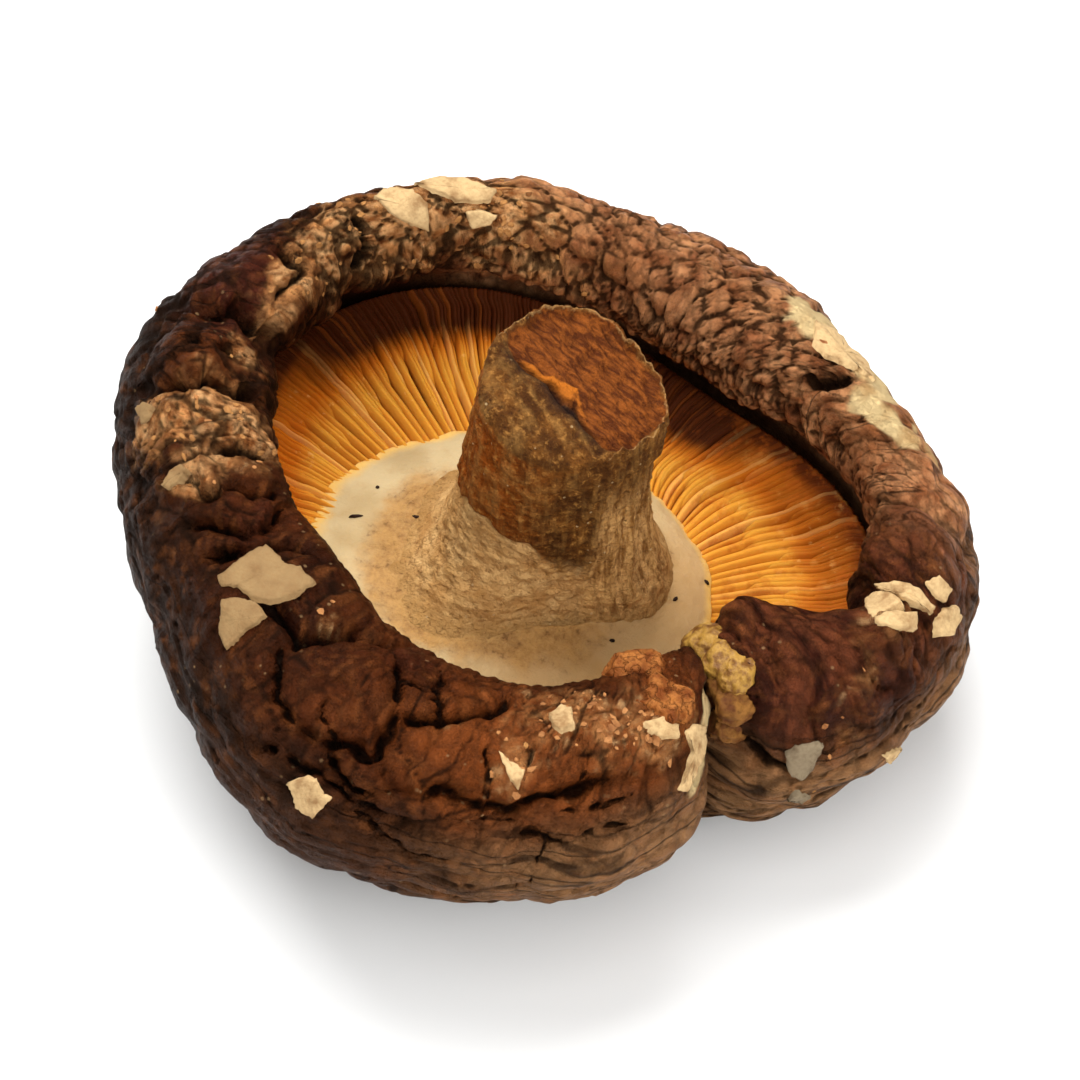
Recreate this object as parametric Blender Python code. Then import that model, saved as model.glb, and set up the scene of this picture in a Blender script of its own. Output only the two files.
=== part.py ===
"""A dried shiitake mushroom that lies on its cap, with the gills and the stem facing up.

Four organs grow from each other: the cap with its rolled-in rim and one deep cleft, the
gills that line its hollow, the pale veil that covers their inner ends, and the stem.
Sizes below are in millimetres and angles in degrees. The model is in metres with +Z up,
+X along the cap's long way, and the origin on the surface it lies on, under its middle.
"""

import math

import bpy
import numpy as np
from mathutils import Vector

MM = 0.001
GAP = 0.35

# Plan of the cap: its widest outline and the edge of its opening, the lip.
# Each lobe is (waves round the outline, height, direction of one crest).
CAP_RADIUS = 26.5
CAP_LOBES = ((1, 0.7, 60.0), (2, 0.4, -7.0), (3, 1.0, 44.0), (4, 0.6, 12.0))
LIP_RADIUS = 16.9
LIP_LOBES = ((2, 1.7, -3.0), (3, 1.3, 35.0), (4, 0.6, 32.0))
LIP_CENTRE = (-0.7, 3.2)
ORIGIN = (0.68, 0.67)

# The cleft, where the rim folds inwards between two lobes that press on each other.
CLEFT_DIRECTION = -19.0
CLEFT_HALF_WIDTHS = (29.0, 19.0)
CLEFT_DEPTH = 7.6
CLEFT_LIP_DEPTH = 2.2
CLEFT_DROP = 3.4
CLEFT_DROP_HEIGHTS = (12.0, 19.0)

# The opening's plane isn't level: the mushroom leans a little towards this side.
LEAN = 7.0
LEAN_DIRECTION = 35.0

# The cap's section from the crown, over the rim and down to the bed under the gills.
# Each ring is (where it lies in plan, share, height, share of the cleft, lean).
# "crown" is a share of the widest outline, "rim" runs from the lip out to the widest
# outline, and "bed" is a share of the lip's outline.
FLAT_SHARE = 0.24
CAP_RINGS = (
    ("crown", 0.00, 0.0, 0.0, 0.0),
    ("crown", FLAT_SHARE, 0.0, 0.0, 0.0),
    ("crown", 0.44, 0.5, 0.05, 0.1),
    ("crown", 0.66, 2.1, 0.3, 0.45),
    ("crown", 0.84, 5.2, 0.6, 0.8),
    ("crown", 0.955, 8.9, 0.85, 1.0),
    ("rim", 1.00, 12.8, 1.0, 1.0),
    ("rim", 0.87, 16.8, 1.0, 1.0),
    ("rim", 0.52, 19.3, 1.0, 1.0),
    ("rim", 0.14, 18.3, 1.0, 1.0),
    ("rim", 0.00, 15.8, 1.0, 1.0),
    ("rim", 0.07, 13.6, 1.0, 1.0),
    ("rim", 0.24, 12.4, 0.8, 1.0),
    ("rim", 0.38, 11.2, 0.6, 1.0),
    ("rim", 0.32, 8.9, 0.4, 1.0),
    ("bed", 0.98, 6.7, 0.2, 1.0),
    ("bed", 0.62, 5.6, 0.0, 1.0),
    ("bed", 0.30, 5.4, 0.0, 1.0),
    ("bed", 0.00, 5.4, 0.0, 1.0),
)
SKIN_RINGS = 12
RINGS_PER_SPAN = 2
CAP_COLUMNS = 108
COLUMN_CROWDING = 0.62

# Wrinkles of the skin: broad swells, and grooves between raised plates.
SWELL_SIZE = 13.0
SWELL_HEIGHT = 0.8
PLATE_SIZE = 7.5
PLATE_FLATTENING = 1.7
PLATE_WARP_SIZE = 5.0
PLATE_WARP = (1.2, 1.2, 0.8)
GROOVE_HALF_WIDTH = 1.1
GROOVE_DEPTH = 0.9

# Gills. Their free edge and their root are rings of the same kind, from the stem out
# to the rim: (where in plan, share, height, share of the cleft), with "foot" a circle
# round the stem.
GILL_COUNT = 56
GILL_INNER_RADIUS = 8.8
GILL_THICKNESS = 0.62
GILL_SLOPE = 0.08
GILL_VALLEY_SHARE = 0.3
GILL_EDGE_RINGS = (
    ("foot", 1.00, 8.2, 0.0),
    ("bed", 0.76, 8.6, 0.0),
    ("bed", 0.92, 9.4, 0.2),
    ("rim", 0.05, 10.3, 0.5),
    ("rim", 0.20, 11.0, 0.7),
)
GILL_ROOT_RINGS = (
    ("foot", 1.00, 6.1, 0.0),
    ("bed", 0.74, 6.4, 0.05),
    ("bed", 0.93, 7.2, 0.25),
    ("rim", 0.13, 8.6, 0.5),
    ("rim", 0.27, 10.4, 0.7),
)

# The veil: a thin felted sheet from the stem outwards, lying on the gills.
VEIL_CENTRE = (-0.2, -0.4)
VEIL_RADIUS = 12.8
VEIL_THICKNESS = 0.7
VEIL_THINNING = 0.35
VEIL_COLUMNS = 44
VEIL_SHARES = (0.0, 0.3, 0.65, 1.0)

# The stem: (height, radius) rings up its axis, then a slanted cut across the top.
STEM_BASE = (0.9, 2.1)
STEM_FOOT_HEIGHT = 8.6
STEM_RINGS = (
    (5.8, 7.7),
    (STEM_FOOT_HEIGHT, 7.7),
    (10.2, 6.9),
    (13.0, 6.3),
    (17.0, 6.1),
    (21.5, 5.8),
    (26.0, 5.5),
)
STEM_LOBES = ((2, 0.35, 60.0), (3, 0.25, 10.0))
STEM_COLUMNS = 28
CUT_SLOPE = 17.0
CUT_DIRECTION = 20.0
CUT_HEIGHTS = (15.0, 25.0)
CUT_EDGE_ROUNDING = 0.7
CUT_EDGE_SHARES = (0.93, 0.5)

# Skin colours as linear values, with each organ's roughness.
CAP_COLOUR = (0.075, 0.034, 0.018)
GILL_COLOUR = (0.50, 0.22, 0.05)
VEIL_COLOUR = (0.62, 0.50, 0.27)
STEM_COLOUR = (0.22, 0.12, 0.05)


def lobed(angle, radius, lobes):
    """Radius of an outline that swells by a cosine for each of its lobes."""
    for waves, height, direction in lobes:
        radius = radius + height * np.cos(waves * (angle - math.radians(direction)))
    return radius


def cleft(angle):
    """1 in the bottom of the cleft, falling to 0 along two round lobes beside it."""
    off = angle - math.radians(CLEFT_DIRECTION)
    off = (off + math.pi) % (2 * math.pi) - math.pi
    half_width = np.radians(np.where(off < 0, *CLEFT_HALF_WIDTHS))
    reach = np.clip(np.abs(off) / half_width, 0, 1)
    return 1 - np.sqrt(1 - (1 - reach) ** 2)


def around(centre, radius, angle):
    """Points in plan at these angles and this distance from a centre."""
    return np.stack(
        [centre[0] + radius * np.cos(angle), centre[1] + radius * np.sin(angle)], -1
    )


def plan_ring(kind, share, cleft_share, angle):
    """Plan of one ring, by the names that the section tables use."""
    fold = cleft_share * cleft(angle)
    outer = lobed(angle, CAP_RADIUS, CAP_LOBES) - CLEFT_DEPTH * fold
    lip = lobed(angle, LIP_RADIUS, LIP_LOBES) - CLEFT_LIP_DEPTH * fold
    if kind == "foot":
        return around(STEM_BASE, GILL_INNER_RADIUS * share, angle)
    if kind == "crown":
        return around((0.0, 0.0), outer * share, angle)
    if kind == "bed":
        return around(LIP_CENTRE, lip * share, angle)
    inner_edge = around(LIP_CENTRE, lip, angle)
    outer_edge = around((0.0, 0.0), outer, angle)
    return inner_edge + share * (outer_edge - inner_edge)


def lean(points, weight=1.0):
    """Turns points about the crown's middle, towards the side the mushroom leans to."""
    turn = math.radians(LEAN) * weight
    way = math.radians(LEAN_DIRECTION)
    along = points[..., 0] * math.cos(way) + points[..., 1] * math.sin(way)
    height = points[..., 2]
    moved = along * math.cos(turn) + height * math.sin(turn)
    leaned = points.copy()
    leaned[..., 0] += (moved - along) * math.cos(way)
    leaned[..., 1] += (moved - along) * math.sin(way)
    leaned[..., 2] = height * math.cos(turn) - along * math.sin(turn)
    return leaned


def ring(kind, share, height, angle, cleft_share=0.0, weight=1.0):
    """One closed ring of points, one for each angle, lowered where the cleft is."""
    plan = plan_ring(kind, share, cleft_share, angle)
    drop = CLEFT_DROP * np.interp(height, CLEFT_DROP_HEIGHTS, (0, 1))
    level = height - drop * cleft_share * cleft(angle)
    level = np.broadcast_to(level, angle.shape)
    return lean(np.concatenate([plan, level[..., None]], -1), weight)


def smooth_through(rings, per_span):
    """Catmull-Rom curves through the rings, column by column, as finer rings."""
    rings = np.asarray(rings)
    ends = (2 * rings[:1] - rings[1:2], rings, 2 * rings[-1:] - rings[-2:-1])
    held = np.concatenate(ends)
    finer = []
    for i in range(len(rings) - 1):
        a, b, c, d = held[i : i + 4]
        for step in range(per_span):
            t = step / per_span
            finer.append(
                0.5 * (2 * b + (c - a) * t + (2 * a - 5 * b + 4 * c - d) * t**2)
                + 0.5 * (3 * b - a - 3 * c + d) * t**3
            )
    return np.array(finer + [rings[-1]])


def hashed(cell, seed):
    """A repeatable random number from 0 to 1 for each cell of a lattice."""
    n = cell[..., 0] * 374761393 + cell[..., 1] * 668265263 + cell[..., 2] * 974634773
    n = (n + seed * 1442695041) & 0xFFFFFFFF
    n = ((n ^ (n >> 13)) * 1274126177) & 0xFFFFFFFF
    return (n ^ (n >> 16)) / 2**32


def swell(points, size, seed):
    """Smooth noise from -1 to 1 that varies over the given size."""
    cell = np.floor(points / size).astype(np.int64)
    part = points / size - cell
    part = part * part * (3 - 2 * part)
    total = np.zeros(points.shape[:-1])
    for corner in np.ndindex(2, 2, 2):
        weight = np.prod(np.where(corner, part, 1 - part), axis=-1)
        total = total + weight * hashed(cell + np.array(corner), seed)
    return 2 * total - 1


def edge_distance(points, size, seed):
    """About how far each point is from the border of the irregular cell it is in."""
    cell = np.floor(points / size).astype(np.int64)
    nearest = np.full(points.shape[:-1], 1e9)
    second = nearest.copy()
    for step in np.ndindex(3, 3, 3):
        neighbour = cell + np.array(step) - 1
        heart = np.stack([hashed(neighbour, seed + axis) for axis in range(3)], -1)
        distance = np.linalg.norm((neighbour + heart) * size - points, axis=-1)
        second = np.minimum(second, np.maximum(nearest, distance))
        nearest = np.minimum(nearest, distance)
    return (second - nearest) / 2


def wrinkles(points):
    """Height of the skin's relief: swells, less a groove along each plate's border."""
    flattened = points * np.array([1.0, 1.0, PLATE_FLATTENING])
    warp = swell(points, PLATE_WARP_SIZE, 3)[..., None] * np.array(PLATE_WARP)
    border = edge_distance(flattened + warp, PLATE_SIZE, 11)
    groove = np.exp(-((border / GROOVE_HALF_WIDTH) ** 2))
    return SWELL_HEIGHT * swell(points, SWELL_SIZE, 5) - GROOVE_DEPTH * groove


def outward(rings):
    """Unit normals of a grid of rings, pointing out of the skin."""
    along = np.gradient(rings, axis=0)
    round_the_cap = np.roll(rings, -1, axis=1) - np.roll(rings, 1, axis=1)
    normal = np.cross(round_the_cap, along)
    return normal / np.maximum(np.linalg.norm(normal, axis=-1, keepdims=True), 1e-9)


def cleft_angles(count):
    """Angles round the cap, closer together near the cleft, with one in its bottom."""
    even = np.arange(count) * 2 * math.pi / count
    return math.radians(CLEFT_DIRECTION) + even - COLUMN_CROWDING * np.sin(even)


def material(name, colour, roughness):
    made = bpy.data.materials.new(name)
    made.use_nodes = True
    shader = made.node_tree.nodes["Principled BSDF"]
    shader.inputs["Base Color"].default_value = (*colour, 1.0)
    shader.inputs["Roughness"].default_value = roughness
    shader.inputs["Metallic"].default_value = 0.0
    return made


def closed_solid(name, rings, finish, poles=False, loop=False):
    """A solid from closed rings of points, in millimetres about the crown's middle.

    With poles, the first and last rings have shrunk to one point each. With loop, the
    last ring joins the first again. Otherwise a flat fan closes each end.
    """
    rings = np.asarray(rings, float)
    rings = (rings - np.array([*ORIGIN, 0.0])) * MM
    columns = rings.shape[1]
    points = []
    rows = []
    if poles:
        first_pole, last_pole = rings[0, 0], rings[-1, 0]
        rings = rings[1:-1]
    else:
        first_pole, last_pole = rings[0].mean(0), rings[-1].mean(0)
    for row in rings:
        rows.append(range(len(points), len(points) + columns))
        points.extend(row)
    faces = []
    pairs = list(zip(rows, rows[1:]))
    if loop:
        pairs.append((rows[-1], rows[0]))
    for low, high in pairs:
        for i in range(columns):
            j = (i + 1) % columns
            faces.append((low[i], low[j], high[j], high[i]))
    if not loop:
        points.extend((first_pole, last_pole))
        bottom, top = len(points) - 2, len(points) - 1
        for i in range(columns):
            j = (i + 1) % columns
            faces.append((bottom, rows[0][j], rows[0][i]))
            faces.append((top, rows[-1][i], rows[-1][j]))
    mesh = bpy.data.meshes.new(name)
    mesh.from_pydata([Vector(p) for p in points], [], faces)
    mesh.validate()
    mesh.materials.append(finish)
    mesh.shade_smooth()
    solid = bpy.data.objects.new(name, mesh)
    bpy.context.scene.collection.objects.link(solid)
    return solid


def make_cap():
    """The crown, the rolled rim, the cleft and the bed, wrinkled wherever skin shows."""
    angle = cleft_angles(CAP_COLUMNS)
    held = [ring(k, s, h, angle, c, w) for k, s, h, c, w in CAP_RINGS]
    rings = smooth_through(held, RINGS_PER_SPAN)
    place = np.arange(len(rings)) / RINGS_PER_SPAN
    needed = (place <= SKIN_RINGS) | (place % 1 == 0)
    rings, place = rings[needed], place[needed]
    rings[place <= 1.0, :, 2] = 0.0
    skin = np.clip(place - 1.0, 0, 1) * np.clip(SKIN_RINGS - place, 0, 1)
    relief = wrinkles(rings) * skin[:, None]
    rings = rings + outward(rings) * relief[..., None]
    rings[..., 2] = np.maximum(rings[..., 2], 0.0)
    finish = material("cap_skin", CAP_COLOUR, 0.65)
    return closed_solid("cap", rings, finish, poles=True)


def gill_columns(kind, share, height, cleft_share, angle):
    """One ring of the gills: two columns on each gill and two in the gap beside it."""
    middle = ring(kind, share, height, angle, cleft_share)
    along = np.roll(middle, -1, axis=0) - np.roll(middle, 1, axis=0)
    along = along / np.linalg.norm(along, axis=-1, keepdims=True)
    half = GILL_THICKNESS / 2
    foot = half + GILL_SLOPE
    following = np.roll(middle, -1, axis=0)
    next_along = np.roll(along, -1, axis=0)
    columns = (
        middle - half * along,
        middle + half * along,
        middle + foot * along,
        following - foot * next_along,
    )
    return np.stack(columns, axis=1).reshape(-1, 3)


def make_gills():
    """Gills on one thin layer that lines the bed, from the stem out under the rim."""
    angle = np.arange(GILL_COUNT) * 2 * math.pi / GILL_COUNT
    edge = [gill_columns(*row, angle) for row in GILL_EDGE_RINGS]
    root = [gill_columns(*row, angle) for row in GILL_ROOT_RINGS]
    edge = smooth_through(edge, 2)
    root = smooth_through(root, 2)
    in_gap = np.tile([False, False, True, True], GILL_COUNT)[None, :, None]
    top = np.where(in_gap, root + GILL_VALLEY_SHARE * (edge - root), edge)
    under = root[::2]
    finish = material("gill_flesh", GILL_COLOUR, 0.5)
    return closed_solid("gills", np.concatenate([under, top[::-1]]), finish, loop=True)


def gill_edge_height(plan):
    """Height of the gills' free edges under points in plan, before the lean."""
    off = plan - np.array(LIP_CENTRE)
    angle = np.arctan2(off[..., 1], off[..., 0])
    share = np.hypot(off[..., 0], off[..., 1]) / lobed(angle, LIP_RADIUS, LIP_LOBES)
    known = [(s, h) for kind, s, h, _ in GILL_EDGE_RINGS if kind == "bed"]
    shares = [0.45, *(s for s, _ in known), 1.04]
    heights = [GILL_EDGE_RINGS[0][2], *(h for _, h in known), GILL_EDGE_RINGS[3][2]]
    return np.interp(share, shares, heights)


def stem_radius(height, angle):
    """The stem's radius at a height, a little out of round."""
    heights, radii = zip(*STEM_RINGS)
    return lobed(angle, np.interp(height, heights, radii), STEM_LOBES)


def make_veil():
    """The veil: inner edge round the stem, outer edge a circle, lying on the gills."""
    angle = np.arange(VEIL_COLUMNS) * 2 * math.pi / VEIL_COLUMNS
    inner = around(STEM_BASE, stem_radius(STEM_FOOT_HEIGHT, angle) + GAP, angle)
    outer = around(VEIL_CENTRE, VEIL_RADIUS, angle)
    lower = []
    upper = []
    for share in VEIL_SHARES:
        plan = inner + share * (outer - inner)
        rest = gill_edge_height(plan) + GAP
        thickness = VEIL_THICKNESS * (1 - VEIL_THINNING * share)
        lower.append(lean(np.concatenate([plan, rest[:, None]], -1)))
        upper.append(lean(np.concatenate([plan, rest[:, None] + thickness], -1)))
    finish = material("veil_felt", VEIL_COLOUR, 0.9)
    return closed_solid("veil", lower + upper[::-1], finish, loop=True)


def make_stem():
    """The stem, widening into the cap, with its slanted cut end."""
    angle = np.arange(STEM_COLUMNS) * 2 * math.pi / STEM_COLUMNS
    held = []
    for height, radius in STEM_RINGS:
        plan = around(STEM_BASE, lobed(angle, radius, STEM_LOBES), angle)
        level = np.full(len(angle), height)
        held.append(np.concatenate([plan, level[:, None]], -1))
    rings = list(smooth_through(held, 2))
    top = rings[-1].copy()
    centre = np.array([*STEM_BASE, top[0, 2]])
    for share in CUT_EDGE_SHARES:
        rings.append(centre + (top - centre) * share + (0, 0, CUT_EDGE_ROUNDING))
    rings = np.array(rings)
    way = math.radians(CUT_DIRECTION)
    off = rings[..., :2] - np.array(STEM_BASE)
    down_slope = off[..., 0] * math.cos(way) + off[..., 1] * math.sin(way)
    near_top = np.interp(rings[..., 2], CUT_HEIGHTS, (0, 1))
    rings[..., 2] -= near_top * down_slope * math.tan(math.radians(CUT_SLOPE))
    finish = material("stem_fibre", STEM_COLOUR, 0.85)
    return closed_solid("stem", lean(rings), finish)


for old in list(bpy.data.objects):
    bpy.data.objects.remove(old)
make_cap()
make_gills()
make_veil()
make_stem()
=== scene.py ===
"""The looks of a dried shiitake mushroom that lies on its cap, with the gills and the stem up.

Lengths are in millimetres and angles in degrees, from the middle of the crown, where the
mushroom touches the surface. place() moves a finished surface into the frame, in metres.
"""

import math

import bpy
import numpy as np
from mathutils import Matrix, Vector


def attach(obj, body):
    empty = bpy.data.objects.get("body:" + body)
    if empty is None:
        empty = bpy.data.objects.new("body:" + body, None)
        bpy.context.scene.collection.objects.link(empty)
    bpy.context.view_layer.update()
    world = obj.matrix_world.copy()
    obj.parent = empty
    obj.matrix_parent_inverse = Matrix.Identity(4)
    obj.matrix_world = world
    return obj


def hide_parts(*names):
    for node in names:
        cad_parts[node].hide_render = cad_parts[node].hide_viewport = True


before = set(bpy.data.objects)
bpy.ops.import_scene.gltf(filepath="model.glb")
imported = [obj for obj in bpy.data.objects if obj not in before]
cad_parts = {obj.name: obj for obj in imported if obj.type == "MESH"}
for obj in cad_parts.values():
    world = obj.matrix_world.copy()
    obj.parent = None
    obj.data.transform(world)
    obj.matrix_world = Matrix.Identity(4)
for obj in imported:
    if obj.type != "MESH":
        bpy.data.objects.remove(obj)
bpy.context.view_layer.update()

MM = 0.001

# The shape of the frame's solids, with the same names and values as in their source.
CAP_RADIUS = 26.5
CAP_LOBES = ((1, 0.7, 60.0), (2, 0.4, -7.0), (3, 1.0, 44.0), (4, 0.6, 12.0))
LIP_RADIUS = 16.9
LIP_LOBES = ((2, 1.7, -3.0), (3, 1.3, 35.0), (4, 0.6, 32.0))
LIP_CENTRE = (-0.7, 3.2)
ORIGIN = (0.68, 0.67)
CLEFT_DIRECTION = -19.0
CLEFT_HALF_WIDTHS = (29.0, 19.0)
CLEFT_DEPTH = 7.6
CLEFT_LIP_DEPTH = 2.2
CLEFT_DROP = 3.4
CLEFT_DROP_HEIGHTS = (12.0, 19.0)
CLEFT_DROP_HALF_WIDTHS = (29.0, 11.0)
LEAN = 7.0
LEAN_DIRECTION = 35.0

# Small steps of the lip beside the cleft, as (direction, width, distance), in the looks alone.
LIP_STEPS = ((-5.0, 7.0, -2.6), (8.0, 5.0, 2.6))
FLAT_SHARE = 0.24
CAP_RINGS = (
    ("crown", 0.00, 0.0, 0.0, 0.0),
    ("crown", FLAT_SHARE, 0.0, 0.0, 0.0),
    ("crown", 0.44, 0.5, 0.05, 0.1),
    ("crown", 0.66, 2.1, 0.3, 0.45),
    ("crown", 0.84, 5.2, 0.6, 0.8),
    ("crown", 0.955, 8.9, 0.85, 1.0),
    ("rim", 1.00, 12.8, 1.0, 1.0),
    ("rim", 0.87, 16.8, 1.0, 1.0),
    ("rim", 0.52, 19.3, 1.0, 1.0),
    ("rim", 0.14, 18.3, 1.0, 1.0),
    ("rim", 0.00, 15.8, 1.0, 1.0),
    ("rim", 0.07, 13.6, 1.0, 1.0),
    ("rim", 0.24, 12.4, 0.8, 1.0),
    ("rim", 0.38, 11.2, 0.6, 1.0),
    ("rim", 0.32, 8.9, 0.4, 1.0),
    ("bed", 0.98, 6.7, 0.2, 1.0),
    ("bed", 0.62, 5.6, 0.0, 1.0),
    ("bed", 0.30, 5.4, 0.0, 1.0),
    ("bed", 0.00, 5.4, 0.0, 1.0),
)
SKIN_RINGS = 12
SWELL_SIZE = 13.0
SWELL_HEIGHT = 0.8
PLATE_SIZE = 7.5
PLATE_FLATTENING = 1.7
PLATE_WARP_SIZE = 5.0
PLATE_WARP = (1.2, 1.2, 0.8)
GILL_INNER_RADIUS = 8.8
GILL_EDGE_RINGS = (
    ("foot", 1.00, 8.2, 0.0),
    ("bed", 0.76, 8.6, 0.0),
    ("bed", 0.92, 9.4, 0.2),
    ("rim", 0.05, 10.3, 0.5),
    ("rim", 0.20, 11.0, 0.7),
)
GILL_ROOT_RINGS = (
    ("foot", 1.00, 6.1, 0.0),
    ("bed", 0.74, 6.4, 0.05),
    ("bed", 0.93, 7.2, 0.25),
    ("rim", 0.13, 8.6, 0.5),
    ("rim", 0.27, 10.4, 0.7),
)
VEIL_CENTRE = (-0.2, -0.4)
VEIL_RADIUS = 12.8
STEM_BASE = (0.9, 2.1)
STEM_RINGS = (
    (5.8, 7.7),
    (8.6, 7.7),
    (10.2, 6.9),
    (13.0, 6.3),
    (17.0, 6.1),
    (21.5, 5.8),
    (26.0, 5.5),
)
STEM_LOBES = ((2, 0.35, 60.0), (3, 0.25, 10.0))
CUT_SLOPE = 17.0
CUT_DIRECTION = 20.0
CUT_HEIGHTS = (15.0, 25.0)
CUT_FIBRE_WAY = 20.0

# The view: the reference photograph's angle, with its pixels tied to one point.
AZIMUTH = 35.0
ELEVATION = 50.0
CAMERA_DISTANCE = 450.0
AIM = (2.8, 0.74, 13.7)
VIEW_WIDTH = 66.0
PHOTO_CENTRE = (755.0, 588.0)
PHOTO_SCALE = 5.25
SENSOR_WIDTH = 36.0

# The ring up to which the resting spot is flat, the grooves between the plates as (width,
# depth), the width of the dark line in them, and how much of the narrow groove goes where the
# photograph shows creases of its own.
FLAT_RING = 1.0
BROAD_GROOVE = (1.2, 0.4)
NARROW_GROOVE = (0.30, 0.6)
GROOVE_LINE = 0.16
GROOVE_LOSS = 0.85

# Beside a crease the plates fall away over this distance, by this share of its depth. The
# crease is cut deeper than its table says by the next factor and wanders by the next length,
# and far from every crease the gap to the nearest one is taken as the last, in half widths.
PILLOW_WIDTH = 1.1
PILLOW_SHARE = 0.55
CREASE_DEEPENING = 1.3
CREASE_WANDER = 0.35
WIDEST_GAP = 3.0

# How finely the cap's skin is drawn: columns round it, and for each stretch of its section
# (first ring, last ring, how many rows).
CAP_COLUMNS = 600
COLUMN_CROWDING = 0.2
CAP_ROWS = ((0.0, 1.0, 4), (1.0, 4.0, 30), (4.0, 12.6, 108), (12.6, 15.0, 8), (15.0, 18.0, 5))

# The skin's own coordinates for its material: round a drum of this radius, and up its side.
# The material shakes them by a fine noise of up to the second length.
DRUM_RADIUS = 24.0
JITTER = 0.9

# The rows of the cap, by place among its rings, that a pixel of the photograph can mean, and
# those that grains lie on.
SEEN_ROWS = (2.5, 12.0)
GRAIN_ROWS = (5.0, 11.0)

# A pixel means the nearest to the camera of the skin's points that show within this reach of
# it, or within this slack of the closest one. A line of sight that meets the skin's plane at a
# slope below STEEP, or farther off than this, counts as meeting the skin's point itself.
PIXEL_REACH = 1.5
PIXEL_SLACK = 0.8
STEEP = 0.3
FARTHEST_MEETING = 0.8

# The front of the cap and all of it that the photograph shows, and the regions on top of the
# rim: middle, half width and soft edge of each in degrees round the cap.
FRONT_SECTOR = (-60.0, 100.0, 14.0)
SEEN_SECTOR = (-60.0, 110.0, 14.0)
TOP_SECTORS = {
    "front_top": (-85.0, 60.0, 14.0),
    "left": (190.0, 26.0, 12.0),
    "back_left": (152.0, 9.0, 8.0),
    "back": (128.0, 14.0, 9.0),
    "back_right": (88.0, 24.0, 9.0),
    "right": (43.0, 14.0, 8.0),
    "right_lobe": (3.0, 22.0, 8.0),
}

# Creases that the photograph shows, as (half width, depth, pixels along it).
CREASES = (
    (0.42, 1.3, ((665, 604), (672, 612), (678, 618), (688, 617), (699, 616), (706, 618), (718, 615))),
    (0.26, 0.8, ((710, 620), (711, 628), (710, 635), (708, 645), (703, 655), (702, 657))),
    (0.30, 0.9, ((708, 645), (715, 645), (725, 646), (733, 643), (741, 639), (744, 635))),
    (0.26, 0.7, ((673, 643), (681, 649), (688, 654), (697, 655), (703, 657))),
    (0.30, 1.0, ((703, 657), (706, 667), (718, 669), (727, 671), (736, 674), (745, 675), (756, 672),
                 (768, 669), (779, 666), (787, 663))),
    (0.24, 0.7, ((685, 655), (688, 662), (694, 668), (706, 669))),
    (0.24, 0.6, ((744, 685), (756, 684), (759, 686), (768, 686), (779, 683), (787, 679))),
    (0.12, 0.2, ((757, 677), (756, 689), (754, 697), (747, 702))),
    (0.20, 0.5, ((723, 626), (723, 634), (723, 641), (727, 646))),
    (0.20, 0.5, ((710, 628), (718, 634), (724, 638))),
    (0.24, 0.6, ((671, 618), (671, 625), (670, 638), (675, 648))),
    (0.24, 0.6, ((659, 653), (670, 655), (676, 661), (685, 664), (694, 674), (708, 679), (718, 683))),
    (0.20, 0.4, ((691, 675), (703, 684), (715, 690), (730, 692))),
    (0.18, 0.3, ((690, 655), (686, 640), (690, 630))),
    (0.18, 0.3, ((737, 651), (737, 662), (735, 672))),
    (0.18, 0.3, ((752, 652), (750, 662), (752, 671))),
    (0.18, 0.3, ((768, 652), (772, 661), (768, 668))),
    (0.20, 0.4, ((733, 680), (745, 679), (754, 681))),
    (0.20, 0.4, ((763, 676), (775, 674), (786, 670))),
    (0.55, 1.9, ((638, 512), (652, 510), (661, 512), (668, 518), (675, 526))),
    (0.50, 1.8, ((624, 539), (640, 535), (652, 535), (661, 538), (669, 543))),
    (0.22, 0.6, ((640, 521), (648, 522), (654, 524), (658, 527))),
    (0.34, 1.0, ((646, 592), (655, 591), (664, 588), (672, 587), (685, 590))),
    (0.36, 1.2, ((640, 583), (648, 582), (661, 583), (670, 579), (681, 575))),
    (0.34, 1.0, ((634, 568), (648, 571), (659, 569), (669, 571), (678, 569))),
    (0.34, 0.9, ((648, 556), (660, 557), (666, 558), (674, 561))),
    (0.26, 0.8, ((671, 492), (677, 496), (682, 500), (675, 507), (671, 513))),
    (0.24, 0.7, ((694, 482), (700, 487), (703, 494), (698, 504))),
    (0.45, 1.0, ((838, 539), (843, 538), (848, 536), (853, 534))),
    (0.22, 0.7, ((811, 654), (819, 654), (827, 660), (835, 664), (841, 665))),
)

# Wrinkles that cover a region: its name, cells round the cap, millimetres up the section for
# each cell, depth, width of the crease as a share of a cell, how patchy it is, and a seed.
WRINKLES = (
    ("front_top", 40, 4.0, 0.18, 0.05, 0.6, 61),
    ("front_top", 100, 1.7, 0.13, 0.10, 0.5, 64),
    ("wall", 16, 2.0, 0.22, 0.06, 0.6, 67),
    ("left", 60, 6.5, 0.40, 0.09, 0.5, 73),
    ("left", 130, 1.8, 0.18, 0.12, 0.4, 76),
    ("back_left", 96, 1.9, 0.32, 0.10, 0.1, 79),
    ("back", 60, 1.8, 0.34, 0.09, 0.1, 82),
    ("back_right", 76, 2.0, 0.42, 0.08, 0.3, 88),
    ("back_right", 140, 1.1, 0.14, 0.12, 0.4, 91),
    ("right", 150, 2.5, 0.14, 0.12, 0.4, 97),
    ("right_lobe", 60, 2.6, 0.12, 0.12, 0.5, 103),
    ("unseen", 64, 3.0, 0.36, 0.08, 0.4, 106),
    ("unseen", 130, 1.5, 0.18, 0.13, 0.4, 109),
    ("lip", 170, 3.0, 0.20, 0.14, 0.2, 112),
)

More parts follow.
